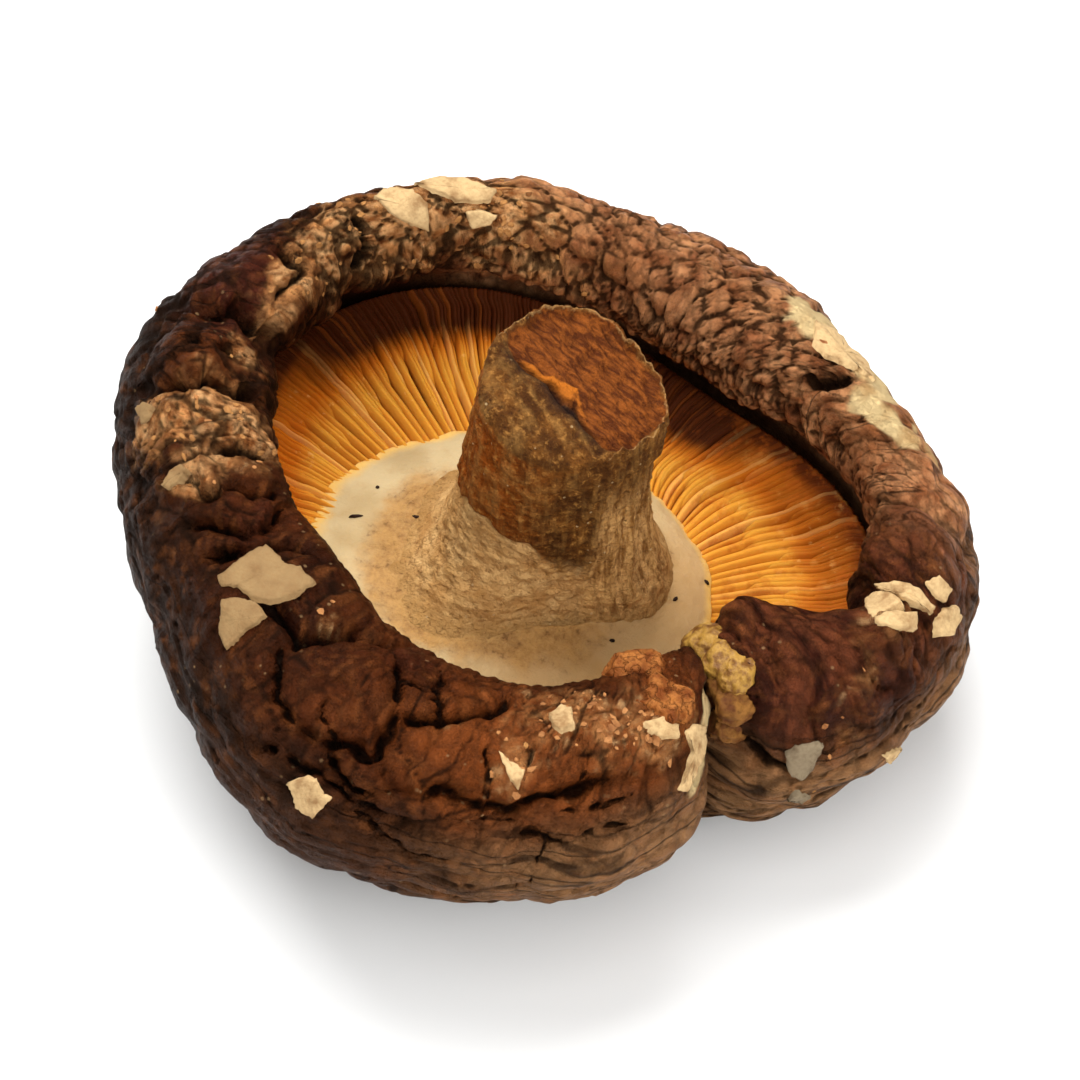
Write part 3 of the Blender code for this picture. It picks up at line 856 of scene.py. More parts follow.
def grid_faces(rows, columns):
    """Quads between closed rings of points, as an array of four corners each."""
    i = np.arange(rows - 1)[:, None] * columns
    j = np.arange(columns)[None, :]
    k = (j + 1) % columns
    corners = np.stack(np.broadcast_arrays(i + j, i + k, i + columns + k, i + columns + j), -1)
    return corners.reshape(-1, 4)


def mesh_piece(name, points, faces, material, attributes=None, replaces=(), smooth=True):
    """A mesh from points in millimetres and faces, which rides with the mushroom."""
    mesh = bpy.data.meshes.new(name)
    mesh.from_pydata(place(points), [], [face.tolist() for face in faces])
    for key, values in (attributes or {}).items():
        kind, field = ("FLOAT_VECTOR", "vector") if key == "drum" else ("FLOAT", "value")
        layer = mesh.attributes.new(key, kind, "POINT")
        layer.data.foreach_set(field, np.asarray(values, np.float32).ravel())
    mesh.materials.append(material)
    if smooth:
        mesh.shade_smooth()
    mesh.validate()
    piece = bpy.data.objects.new(name, mesh)
    bpy.context.scene.collection.objects.link(piece)
    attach(piece, "root")
    if replaces:
        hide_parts(*replaces)


def capped_grid(rings):
    """Points and faces of closed rings whose first and last ring have shrunk to a point."""
    rows, columns = rings.shape[:2]
    inner = rings[1:-1].reshape(-1, 3)
    points = np.concatenate([inner, rings[:1, 0], rings[-1:, 0]])
    quads = grid_faces(rows - 2, columns)
    j = np.arange(columns)
    k = (j + 1) % columns
    first, last = len(inner), len(inner) + 1
    low = np.stack([np.full(columns, first), k, j], -1)
    top_row = (rows - 3) * columns
    high = np.stack([np.full(columns, last), top_row + j, top_row + k], -1)
    return points, [*quads, *low, *high]


def capped_values(values):
    """One value for each point that capped_grid makes."""
    return np.concatenate([values[1:-1].ravel(), values[:1, 0], values[-1:, 0]])


def make_cap(skin):
    """The cap: crown, rolled rim, cleft and bed as one closed skin."""
    points, faces = capped_grid(skin.points)
    place = skin.place[:, None]
    outer = 1 - 0.75 * smooth_step(place, 6.6, 8.2)
    layers = {
        # Painted light: on the cap this makes the right-hand wall paler, as if lit from that side.
        "right_side": sector(skin.angle, -8.0, 34.0, 36.0),
        # Painted shade: the left side of the cap, darkened as if in shadow.
        "left_side": sector(skin.angle, 212.0, 32.0, 30.0) * outer,
        # Painted light: the top of the back rim, lightened as if lit from above.
        "upper": smooth_step(place, 6.0, 7.5) * sector(skin.angle, 82.0, 50.0, 16.0),
        "wall": band(place, 2.5, 4.5, 6.0, 7.5),
        "crown": 1 - smooth_step(place, 3.0, 5.0),
        # Painted shade: the inner wall under the rolled lip, darkened as if in the lip's shadow.
        "flesh": smooth_step(place, 12.6, 13.6),
    }
    for key in "lobe crack gap grit raised warm purple crust peeled lined folded".split():
        layers[key] = getattr(skin, key)
    attributes = {
        key: capped_values(np.broadcast_to(values, skin.shape)) for key, values in layers.items()
    }
    drum = [capped_values(skin.drum[..., axis]) for axis in range(3)]
    attributes["drum"] = np.stack(drum, -1)
    mesh_piece("cap_skin", points, faces, skin_material(), attributes, ["cap"])


def pixels_on_skin(skin, pixels):
    """Points of the skin that show at photo pixels, and the skin's normals there.

    Each is where the line of sight meets the plane of the nearest skin point to it.
    """
    x, y, near = skin.pixels
    middle = pixels.mean(0)
    reach = np.hypot(*(pixels - middle).T).max() + 5
    chosen = skin.faces_camera & (np.hypot(x - middle[0], y - middle[1]) < reach)
    x, y, near = x[chosen], y[chosen], near[chosen]
    bases, ways = skin.base[chosen], skin.smooth_normal[chosen]
    off = np.hypot(x[None] - pixels[:, :1], y[None] - pixels[:, 1:])
    off = off - 0.15 * near[None]
    closest = off.argmin(1)
    right, up, back = view_axes()
    eye = np.array(AIM) + back * CAMERA_DISTANCE
    across = (pixels - np.array(PHOTO_CENTRE)) / PHOTO_SCALE
    sight = right * across[:, :1] - up * across[:, 1:] - back * CAMERA_DISTANCE
    sight = sight / np.linalg.norm(sight, axis=-1, keepdims=True)
    base, way = bases[closest], ways[closest]
    slope = np.sum(sight * way, axis=-1)
    along = np.sum((base - eye) * way, axis=-1) / np.where(np.abs(slope) < STEEP, -STEEP, slope)
    met = eye + sight * along[:, None]
    steep = (np.abs(slope) < STEEP) | (np.linalg.norm(met - base, axis=-1) > FARTHEST_MEETING)
    return np.where(steep[:, None], base, met), way


def flattened(points, pixels):
    """Points moved along the line of sight to within FLAKE_BEND of a plane through them.

    The plane is fitted by least squares, each time after the first to the points as the last
    fit left them, so that a corner that has slipped off the skin hardly tilts it.
    """
    back = view_axes()[2]
    depth = points @ back
    columns = np.column_stack([np.ones(len(pixels)), pixels - pixels.mean(0)])
    kept = depth
    for _ in range(FLAKE_FITS):
        fit = columns @ np.linalg.lstsq(columns, kept, rcond=None)[0]
        kept = np.clip(depth, fit - FLAKE_BEND, fit + FLAKE_BEND)
    return points + (kept - depth)[:, None] * back


def flake_mesh(skin, flake, seed):
    """One flake: its corners joined by slightly ragged lines, laid on the skin as a cake.

    Its rings are the outline drawn towards the middle, each lifted off the skin.
    """
    thickness, corners = flake
    rng = np.random.default_rng(seed)
    corner = np.array(corners, float)
    share = np.arange(FLAKE_SIDE_POINTS)[:, None] / FLAKE_SIDE_POINTS
    outline = corner[:, None] * (1 - share) + np.roll(corner, -1, axis=0)[:, None] * share
    outline = outline.reshape(-1, 2)
    outline = outline + rng.uniform(-FLAKE_RAGGEDNESS, FLAKE_RAGGEDNESS, outline.shape)
    middle = outline.mean(0)
    shares = np.array(FLAKE_SHARES)[:, None, None]
    pixels = (middle + shares * (outline - middle)).reshape(-1, 2)
    points, ways = pixels_on_skin(skin, pixels)
    rings = flattened(points, pixels).reshape(len(FLAKE_SHARES), -1, 3)
    ways = ways.reshape(rings.shape)
    way = ways.mean((0, 1))
    way = way / np.linalg.norm(way)
    lift = np.array(FLAKE_HEIGHTS)[:, None] * thickness
    lift = lift + 0.02 * rng.uniform(-1, 1, rings.shape[:2]) * (shares[..., 0] < 0.9)
    rings = rings + (0.5 * way + 0.5 * ways) * lift[..., None]
    rings[0] = rings[0].mean(0)
    rows, columns = rings.shape[:2]
    faces = grid_faces(rows, columns)
    underside = np.arange(columns)[::-1] + (rows - 1) * columns
    if np.cross(rings[1, 1] - rings[1, 0], rings[2, 0] - rings[1, 0]) @ way < 0:
        faces, underside = faces[:, ::-1], underside[::-1]
    return rings.reshape(-1, 3), [*faces, underside]


def make_flakes(skin):
    """All the pale flakes, and the grey chips by the cleft, as two pieces."""
    for name, table, material in (
        ("pale_flakes", FLAKES, flake_material("pale_flake", (198, 166, 118), (134, 98, 60))),
        ("grey_chips", GREY_CHIPS, flake_material("grey_chip", (128, 112, 88), (84, 66, 48))),
    ):
        points, faces, count = [], [], 0
        for number, flake in enumerate(table):
            flake_points, flake_faces = flake_mesh(skin, flake, 900 + number)
            points.append(flake_points)
            faces.extend(face + count for face in flake_faces)
            count += len(flake_points)
        points = np.concatenate(points)
        # Painted shade: the flakes on the left side are darkened, as if in shadow.
        left_flake_painted_shade = {"left_flake_painted_shade": sector(np.arctan2(points[:, 1], points[:, 0]), 225.0, 40.0, 15.0)}
        mesh_piece(name, points, faces, material, left_flake_painted_shade)


def make_grains(skin, name, count, sizes, layer, colours, seed):
    """Small angular grains that stick to the skin: lopsided six-sided slabs, half sunk."""
    rng = np.random.default_rng(seed)
    rows = (skin.place > GRAIN_ROWS[0]) & (skin.place < GRAIN_ROWS[1])
    chance = (0.001 + getattr(skin, layer) ** 3) * rows[:, None]
    chosen = rng.choice(chance.size, count, replace=False, p=chance.ravel() / chance.sum())
    heart = skin.points.reshape(-1, 3)[chosen]
    normal = skin.normal.reshape(-1, 3)[chosen]
    sides = 6
    turn = np.arange(sides) * 2 * math.pi / sides
    rings = [(0.0, 0.6), (0.55, 0.7), (1.0, 0.25), (0.8, -0.6), (0.0, -0.7)]
    slab = np.array([[(r * math.cos(t), r * math.sin(t), z) for t in turn] for r, z in rings])
    slab = slab.reshape(-1, 3)
    side = np.cross(normal, rng.normal(size=normal.shape))
    side /= np.linalg.norm(side, axis=-1, keepdims=True)
    size = rng.uniform(*sizes, (count, 1)) * rng.uniform(0.6, 1.3, (count, 3))
    size[:, 2] *= 0.5
    stretch = rng.uniform(0.7, 1.3, (count, len(slab), 1))
    stretch[:, :sides] = stretch[:, :1]
    stretch[:, -sides:] = stretch[:, -1:]
    lumpy = slab[None] * size[:, None] * stretch
    axes = np.stack([side, np.cross(normal, side), normal], 1)
    points = heart[:, None] + lumpy @ axes
    faces = grid_faces(len(rings), sides)[:, ::-1]
    faces = (faces[None] + np.arange(count)[:, None, None] * len(slab)).reshape(-1, 4)
    material = flake_material(name, *colours)
    mesh_piece(name, points.reshape(-1, 3), list(faces), material, smooth=False)


def gill_surface(angle, share, height):
    """Points of the gills at these angles, from the foot at share 0 to under the rim at 1,
    and from the root at height 0 to the free edge at 1."""
    places = share * (len(GILL_EDGE_RINGS) - 1)
    edge = through([ring(*row[:3], angle, row[3]) for row in GILL_EDGE_RINGS], places)
    root = through([ring(*row[:3], angle, row[3]) for row in GILL_ROOT_RINGS], places)
    return root + height * (edge - root)


def make_gills():
    """Thin wavy blades: a rounded cross-section carried along each from the stem to the rim.

    A blade's line swings by smooth noise that its neighbours nearly share, and its height
    varies from blade to blade, so that some stand out and dark gaps open between others.
    """
    rng = np.random.default_rng(5)
    number = np.arange(GILL_COUNT)
    base_angle = (number + rng.uniform(-0.3, 0.3, GILL_COUNT)) * 2 * math.pi / GILL_COUNT
    share = np.linspace(0.0, 1.0, GILL_ROWS)
    fine_angle = np.linspace(0, 2 * math.pi, GILL_COLUMNS)
    edge = gill_surface(fine_angle, share, 1.0)
    root = gill_surface(fine_angle, share, GILL_ROOT_HEIGHT)
    track = np.broadcast_arrays(np.cos(base_angle)[None, :], np.sin(base_angle)[None, :], share[:, None])
    track = GILL_TRACK_RADIUS * np.stack(track, -1)
    wave = swells(track, (1.0, 3.8, 11), (0.22, 1.3, 12), (0.06, 0.5, 14))
    angle = (base_angle[None, :] + wave * GILL_WAVE / GILL_WAVE_RADIUS) % (2 * math.pi)
    column = angle / (2 * math.pi) * (GILL_COLUMNS - 1)
    low = np.floor(column).astype(int)
    part = (column - low)[..., None]
    rows = np.arange(GILL_ROWS)[:, None]
    crest, foot = (s[rows, low] * (1 - part) + s[rows, low + 1] * part for s in (edge, root))
    member = number % 3
    short_start, low_start = rng.uniform(0.3, 0.5, GILL_COUNT), rng.uniform(0.05, 0.3, GILL_COUNT)
    start = np.choose(member, (0.0, short_start, low_start))
    grown = smooth_step(share[:, None], start - 0.1, start + 0.08)
    lower = np.choose(member, (0.0, 0.06, 0.03)) + rng.uniform(-0.03, 0.06, GILL_COUNT)
    lower = lower + 0.14 * (rng.uniform(0, 1, GILL_COUNT) < 0.12)
    smeared = sector(base_angle, *SMEARED_SECTOR)
    lower = lower * (1 - 0.5 * smeared)
    height = np.clip(grown * (1 - lower + 0.05 * swell(track, 0.9, 13)), 0.02, 1.05)
    crest = foot + (crest - foot) * height[..., None]
    along = np.stack([-np.sin(angle), np.cos(angle), 0 * angle], -1)
    spread, levels = (np.array(row) for row in zip(*GILL_SECTION))
    half = GILL_THICKNESS / 2 * rng.uniform(0.8, 1.25, GILL_COUNT) * (1 + 0.6 * smeared)
    points = (
        foot[:, :, None] + (crest - foot)[:, :, None] * levels[:, None]
        + along[:, :, None] * spread[:, None] * half[None, :, None, None]
    )
    across = len(spread)
    points = points.transpose(1, 0, 2, 3).reshape(-1, 3)
    firsts = np.arange(GILL_COUNT)[:, None] * GILL_ROWS * across
    faces = (grid_faces(GILL_ROWS, across)[None] + firsts[:, None]).reshape(-1, 4)
    near_end = firsts + np.arange(across)[::-1]
    far_end = firsts + (GILL_ROWS - 1) * across + np.arange(across)
    # Painted shade: the gills under the back and right rims are darkened as if in the rims' shadow, with
    # a darker band across the middle of the right-hand gills.
    back = sector(base_angle, 120.0, 40.0, 30.0)[:, None]
    right = sector(base_angle, 5.0, 40.0, 40.0)[:, None]
    shade = back * smooth_step(share, 0.34, 0.66)
    shade = np.maximum(shade, (0.9 - 0.35 * right) * smooth_step(share, 0.62, 0.92))
    shade = np.maximum(shade, 0.42 * right * smooth_step(share, 0.2, 0.6))
    layers = {
        "reach": share[None, :, None],
        "level": levels[None, None, :],
        "shade": shade[:, :, None],
        "tone": rng.uniform(0, 1, GILL_COUNT)[:, None, None],
        "smeared": smeared[:, None, None],
    }
    shape = (GILL_COUNT, GILL_ROWS, across)
    attributes = {key: np.broadcast_to(values, shape) for key, values in layers.items()}
    faces = [*faces, *near_end, *far_end]
    mesh_piece("gill_blades", points, faces, gill_material(), attributes, ["gills"])


def gill_edge_height(plan):
    """Height of the gills' free edges under points in plan, before the lean."""
    off = plan - np.array(LIP_CENTRE)
    angle = np.arctan2(off[..., 1], off[..., 0])
    share = np.hypot(off[..., 0], off[..., 1]) / lobed(angle, LIP_RADIUS, LIP_LOBES)
    known = [(s, h) for kind, s, h, _ in GILL_EDGE_RINGS if kind == "bed"]
    shares = [GILL_SHARE_AT_FOOT, *(s for s, _ in known), GILL_SHARE_AT_RIM]
    heights = [GILL_EDGE_RINGS[0][2], *(h for _, h in known), GILL_EDGE_RINGS[3][2]]
    return np.interp(share, shares, heights)


def make_veil():
    """The veil: a felted sheet from inside the stem's foot out onto the gills' edges.

    Its height is the gills' edges plus a thickness that falls to nothing at a ragged rim,
    where the gills press through it, and it climbs a little towards the stem's foot. Gives the
    points of its upper side.
    """
    angle = np.arange(VEIL_COLUMNS) * 2 * math.pi / VEIL_COLUMNS
    turn = angle / (2 * math.pi)
    share = np.linspace(0, 1, VEIL_ROWS)[:, None]
    inner = around(STEM_BASE, 5.5, angle)
    ragged = ring_noise(turn, (0.30, 22, 7), (0.12, 90, 8))
    outer = around(VEIL_CENTRE, VEIL_RADIUS + 0.1 + ragged, angle)
    plan = inner + share[..., None] * (outer - inner)
    level = gill_edge_height(plan)
    flat = np.concatenate([plan, 0 * level[..., None]], -1)
    felt = swells(flat, (0.15, 2.4, 15), (0.06, 0.9, 16), (0.03, 0.4, 17))
    thickness = 0.8 * (1 - share**4) - 0.25 * share**6
    press = ring_noise(turn, (0.1, 150, 18)) * smooth_step(share, 0.8, 1.0)
    off_stem = plan - np.array(STEM_BASE)
    way = np.arctan2(off_stem[..., 1], off_stem[..., 0])
    from_foot = np.hypot(off_stem[..., 0], off_stem[..., 1]) - foot_radius(way, 9.4)
    climbing = 0.7 * np.exp(-np.maximum(from_foot + 0.3, 0) / 0.9)
    top = np.concatenate([plan, (level + thickness + felt + press + climbing)[..., None]], -1)
    under = np.concatenate([plan, (level - 0.5)[..., None]], -1)[::-1]
    rings = lean(np.concatenate([top, under]))
    rows = len(rings)
    closing = grid_faces(2, VEIL_COLUMNS)
    last_row = (rows - 1) * VEIL_COLUMNS
    closing = np.where(closing >= VEIL_COLUMNS, closing - VEIL_COLUMNS, closing + last_row)
    faces = [*grid_faces(rows, VEIL_COLUMNS), *closing]
    # The foot's tan crumbs reach farther on the front-left, where the wider band also serves as painted
    # shade beside the front rim.
    zone_width = 2.3 + 2.0 * sector(way, 265.0, 45.0, 30.0)
    near_foot = 1 - smooth_step(from_foot, -0.2, zone_width)
    near_foot = near_foot * (0.35 + 0.65 * sector(way, 255.0, 60.0, 40.0))
    layers = {
        "reach": np.concatenate([share, share[::-1]]),
        "near_foot": np.concatenate([near_foot, near_foot[::-1]]),
        # Painted shade: on the veil this darkens the right of the stem, as if in the stem's shadow.
        "right_side": sector(angle, -5.0, 45.0, 50.0),
    }
    attributes = {key: np.broadcast_to(values, rings.shape[:2]) for key, values in layers.items()}
    points = rings.reshape(-1, 3)
    mesh_piece("veil_felt", points, faces, veil_material(), attributes, ["veil"])
    return rings[:VEIL_ROWS].reshape(-1, 3)


def foot_radius(angle, level):
    """Radius of the stem near its foot: the solid's, spread on one side and drawn in on another."""
    heights, radii = zip(*STEM_RINGS)
    radius = np.interp(level, heights, radii)
    waist = np.interp(level, WAIST_LEVELS, WAIST_DEPTHS) * sector(angle, WAIST_DIRECTION, 35.0, 40.0)
    lopsided = FOOT_LEAST + (1 - FOOT_LEAST) * sector(angle, FOOT_DIRECTION, 40.0, 60.0)
    spread = np.interp(level, FOOT_LEVELS, FOOT_FLARES) * lopsided
    inset = np.interp(level, FRONT_LEVELS, FRONT_INSETS) * sector(angle, FRONT_DIRECTION, 16.0, 48.0)
    return radius - waist + spread - inset


def make_veil_specks(veil):
    """Small dark splinters on the veil, where the photograph shows them."""
    x, y, _ = photo_pixels(veil)
    corner = np.array([(1, 0.2), (0.3, 1), (-0.6, 0.8), (-1, -0.1), (-0.2, -1), (0.7, -0.7)])
    points, faces = [], []
    for number, (pixel, long, turn) in enumerate(VEIL_SPECKS):
        place_on = veil[np.hypot(x - pixel[0], y - pixel[1]).argmin()]
        way = math.radians(turn)
        along = np.array([math.cos(way), math.sin(way), 0.0])
        across = np.array([-math.sin(way), math.cos(way), 0.0])
        flat = corner[:, :1] * along * long / 2 + corner[:, 1:] * across * SPECK_WIDTH / 2
        points.extend(place_on + flat - np.array([0.0, 0.0, SPECK_SINK]))
        points.extend(place_on + 0.8 * flat + np.array([0.0, 0.0, SPECK_HEIGHT]))
        first = len(corner) * 2 * number
        under = first + np.arange(len(corner))
        faces.extend([*grid_faces(2, len(corner)) + first, under + len(corner), under[::-1]])
    material = flake_material("dark_splinter", (44, 24, 12), (24, 13, 7))
    mesh_piece("veil_specks", np.array(points), faces, material, smooth=False)


def stem_side(angle, shoulder):
    """The stem's side: rows of points from inside the veil to the rim of the cut.

    The radius is read from the solid's rings, drawn in at the waist and spread at the foot,
    with ridged noise drawn out upwards for fibres and fine noise for the crumbly skin.
    """
    turn = angle / (2 * math.pi)
    share = np.linspace(0, 1, STEM_SIDE_ROWS)[:, None]
    top = STEM_RINGS[-1][0] - SHOULDER_HEIGHT * shoulder
    level = FOOT_LEVELS[0] + share * (top - FOOT_LEVELS[0])
    radius = lobed(angle[None, :], foot_radius(angle[None, :], level), STEM_LOBES)
    torn = np.interp(np.degrees(angle), *zip(*TORN_LEVELS), period=360)
    torn = torn + ring_noise(turn, (0.8, 13, 31), (0.45, 40, 32))
    torn_edge = 0.15 + 2.6 * (1 - sector(angle, 240.0, 45.0, 20.0))
    skinned = smooth_step((level - torn) / torn_edge, -1.0, 1.0)
    bent = turn + 0.012 * ripple(turn, level, 9, 6.0, 21)
    fibres = 0.07 * ridged(ripple(bent, level, 40, 9.0, 22))
    fibres = fibres + 0.05 * ridged(ripple(bent, level, 100, 5.0, 23))
    points = np.stack([radius * np.cos(angle), radius * np.sin(angle), level], -1)
    grains = ridges(points, (0.10, 1.3, 24), (0.09, 0.6, 25)) + 0.05 * swell(points, 0.35, 29)
    calm = smooth_step(level, 8.6, 11.0) * 0.85 + 0.15
    strands = sector(angle, 5.0, 30.0, 14.0) * band(level, 8.8, 11.5, 18.0, 24.0)
    strand = 0.22 * ridged(ripple(bent, level, 56, 14.0, 27)) * strands
    relief = fibres * skinned + grains * (1.3 - 0.3 * skinned) + strand
    radius = radius + relief * calm + 0.30 * swell(points, 4.0, 26)
    radius = radius + 0.12 * skinned * sector(angle, 240.0, 50.0, 40.0)
    side = np.concatenate([around(STEM_BASE, radius, angle), level[..., None]], -1)
    return side, relief, skinned, strands


def make_stem():
    """The stem: foot, side, a rounded shoulder on one side of the top, and the slanted cut.

    The top's rows draw the rim towards the middle. On the shoulder they rise along a quarter
    of an ellipse, and a crease at its end divides it from the sunken, fibrous cut.
    """
    angle = np.arange(STEM_COLUMNS) * 2 * math.pi / STEM_COLUMNS
    turn = angle / (2 * math.pi)
    shoulder = sector(angle, SHOULDER_DIRECTION, 28.0, 52.0)
    side, side_relief, skinned, strands = stem_side(angle, shoulder)
    share = 1 - (np.arange(1, STEM_TOP_ROWS + 1) / STEM_TOP_ROWS)[:, None]
    centre = np.array(STEM_BASE)
    plan = centre + share[..., None] * (side[-1, :, :2] - centre)
    flat = np.concatenate([plan, 0 * plan[..., :1]], -1)
    wiggle = swells(flat, (0.05, 1.4, 33), (0.02, 0.5, 34))
    edge_share = 1 - shoulder * (1 - SHOULDER_SHARE)
    over = np.clip((share - edge_share) / np.maximum(1 - edge_share, 0.03), 0, 1)
    rise = SHOULDER_HEIGHT * shoulder * np.sqrt(1 - over**2)
    past_edge = share - edge_share + wiggle
    inside = smooth_step(edge_share + wiggle - share, 0.0, 0.06)
    deep = smooth_step(shoulder, 0.1, 0.6)
    # crease and dark_line mark the groove beside the shoulder, which the material darkens as painted
    # shade.
    crease = bell(past_edge + 0.05, 0.07) * deep
    dark_line = bell(past_edge - 0.02, 0.14) * deep
    beside = bell(past_edge + 0.24, 0.17) * deep * (0.6 + 0.6 * sector(angle, 225.0, 30.0, 30.0))
    grain_way = np.stack([
        flat[..., 0] * 0.35 + flat[..., 1] * 0.94, (flat[..., 0] * 0.94 - flat[..., 1] * 0.35) * 0.3,
        flat[..., 2],
    ], -1)
    cut = 0.16 * ridged(swell(grain_way, 0.7, 35)) + 0.12 * ridged(swell(flat, 1.2, 36))
    cut = cut + 0.08 * swell(flat, 0.5, 37)
    fray = ring_noise(turn, (0.22, 34, 38), (0.16, 90, 39))
    lip = bell(1 - share, 0.05) * (1 - shoulder)
    level = STEM_RINGS[-1][0] - SHOULDER_HEIGHT * shoulder + rise
    level = level + (cut - 0.35) * inside - 0.7 * crease + lip * (0.3 + fray)
    level = level + 0.12 * ridged(swell(flat, 0.9, 40)) * (1 - inside) * (share < 0.99)
    side[-1, :, 2] += (0.15 + fray) * (1 - shoulder)
    top = np.concatenate([plan, level[..., None]], -1)
    rings = np.concatenate([side, top])
    off = rings[..., :2] - centre
    way = math.radians(CUT_DIRECTION)
    down_slope = off[..., 0] * math.cos(way) + off[..., 1] * math.sin(way)
    near_top = np.interp(rings[..., 2], CUT_HEIGHTS, (0, 1))
    rings[..., 2] -= near_top * down_slope * math.tan(math.radians(CUT_SLOPE))
    rings = lean(rings)
    bottom = rings[:1].mean(1, keepdims=True) + np.zeros_like(rings[:1])
    rings = np.concatenate([bottom, rings])
    rings[-1] = rings[-1].mean(0)
    points, faces = capped_grid(rings)
    layers = {
        "cut": (0.0, 0.0, inside),
        "skinned": (0.0, skinned, 1.0),
        "relief": (0.0, side_relief / 0.25, cut / 0.25),
        "strands": (0.0, strands, 0.0),
        "crease": (0.0, 0.0, np.maximum(crease, 0.85 * dark_line)),
        "beside": (0.0, 0.0, beside),
        "fringe": (0.0, 0.0, lip),
        "turn": (0.0, np.cos(angle - math.radians(RED_BARK_DIRECTION)), 0.0),
        "pale": (1.0, 1 - smooth_step(side[..., 2], 9.0, 12.0), 0.0),
    }
    parts = (bottom.shape[:2], side.shape[:2], top.shape[:2])
    attributes = {
        key: capped_values(np.concatenate([np.broadcast_to(v, shape) for v, shape in zip(values, parts)]))
        for key, values in layers.items()
    }
    mesh_piece("stem_fibre", points, faces, stem_material(), attributes, ["stem"])


def linear(colour):
    """A colour written as 0 to 255 in sRGB, as the linear values that Blender uses."""
    values = np.array(colour) / 255
    low = values / 12.92
    high = ((values + 0.055) / 1.055) ** 2.4
    return (*np.where(values <= 0.04045, low, high), 1.0)


class Value:
    """A socket in a material. Arithmetic on it adds Math nodes to its tree."""

    def __init__(self, shading, socket):
        self.shading = shading
        self.socket = socket

    def math(self, operation, *others, clamp=False):
        settings = {"operation": operation, "use_clamp": clamp}
        return self.shading.add("ShaderNodeMath", settings, dict(enumerate((self, *others))))

    def __add__(self, other):
        return self.math("ADD", other)

    __radd__ = __add__

    def __sub__(self, other):
        return self.math("SUBTRACT", other)

    def __rsub__(self, other):
        return (self * -1) + other

    def __mul__(self, other):
        return self.math("MULTIPLY", other)

    __rmul__ = __mul__

    def clamped(self):
        return self.math("ADD", 0.0, clamp=True)

    def step(self, low, high):
        """0 below low and 1 above high, smooth between."""
        settings = {"interpolation_type": "SMOOTHSTEP"}
        return self.shading.add("ShaderNodeMapRange", settings, {0: self, 1: low, 2: high})

    def ragged(self, noise, amount, low, high):
        """The same step, with its edge broken up by a noise from 0 to 1."""
        return (self + (noise - 0.5) * amount).step(low, high)


class Shading:
    """One material's node tree, with short ways to add to it.

    Colours are tuples of 0 to 255 in sRGB, or Values. The coats of paint go into its colour.
    """

    def __init__(self, name):
        self.material = bpy.data.materials.new(name)
        self.material.use_nodes = True
        self.tree = self.material.node_tree
        self.place = self.add("ShaderNodeTexCoord", output="Object")

    def add(self, kind, settings=None, values=None, output=0):
        """A node of a type: its settings first, then the values or links of its sockets."""
        node = self.tree.nodes.new(kind)
        for key, value in (settings or {}).items():
            setattr(node, key, value)
        for key, value in (values or {}).items():
            self.set(node.inputs[key], value)
        return Value(self, node.outputs[output])

    def set(self, socket, value):
        """Links a socket to a Value, or gives it a plain number or colour."""
        if isinstance(value, Value):
            self.tree.links.new(value.socket, socket)
        else:
            socket.default_value = value

    def attribute(self, name, output="Fac"):
        return self.add("ShaderNodeAttribute", {"attribute_name": name}, output=output)

    def attributes(self, names):
        """The piece's own values of these names, which are parted by spaces."""
        return [self.attribute(name) for name in names.split()]

    def noise(self, size, detail=3.0, roughness=0.55, vector=None):
        """Noise from 0 to 1 whose largest features are about size millimetres."""
        values = {"Vector": vector or self.place, "Scale": 1 / (size * MM)}
        values |= {"Detail": detail, "Roughness": roughness}
        return self.add("ShaderNodeTexNoise", None, values)

    def cells(self, size, feature="F1", output="Distance", vector=None):
        values = {"Vector": vector or self.place, "Scale": 1 / (size * MM)}
        return self.add("ShaderNodeTexVoronoi", {"feature": feature}, values, output)

    def stretched(self, scale, vector=None, turn=0.0):
        """Coordinates scaled differently along each axis, after a turn round the upright one."""
        values = {"Vector": vector or self.place, "Scale": scale}
        values["Rotation"] = (0.0, 0.0, math.radians(turn))
        return self.add("ShaderNodeMapping", None, values)

    def chips(self, size, vector):
        """Irregular cells: 0 at their borders and 1 well inside, and a random value for each."""
        inside = self.cells(size, "DISTANCE_TO_EDGE", "Distance", vector)
        colour = self.cells(size, "F1", "Color", vector)
        return inside, self.add("ShaderNodeSeparateColor", None, {0: colour})

    def lines(self, size, width, vector, detail=2.0):
        """1 along thin lines, where noise crosses its middle value, and 0 between them."""
        return (self.noise(size, detail, 0.5, vector) - 0.5).math("ABSOLUTE").step(width, 0.0)

    def mix(self, factor, *colours):
        """A colour between two others."""
        first, second = (linear(c) if isinstance(c, tuple) else c for c in colours)
        values = {0: factor, 6: first, 7: second}
        return self.add("ShaderNodeMix", {"data_type": "RGBA"}, values, output=2)

    def coat(self, factor, colour):
        """Lays one more colour over the coats so far."""
        self.colour = self.mix(factor, self.colour, colour)

    def finish(self, roughness, *reliefs, **fixed):
        """Wires up the shader, with each relief given as (height, its depth in millimetres)."""
        shader = self.tree.nodes["Principled BSDF"]
        normal = None
        for height, depth in reliefs:
            values = {"Height": height, "Distance": depth * MM, "Strength": 1.0}
            if normal is not None:
                values["Normal"] = normal
            normal = self.add("ShaderNodeBump", None, values)
        self.set(shader.inputs["Base Color"], self.colour)
        self.set(shader.inputs["Roughness"], roughness)
        self.set(shader.inputs["Normal"], normal)
        for key, value in fixed.items():
            shader.inputs[key.replace("_", " ")].default_value = value
        return self.material


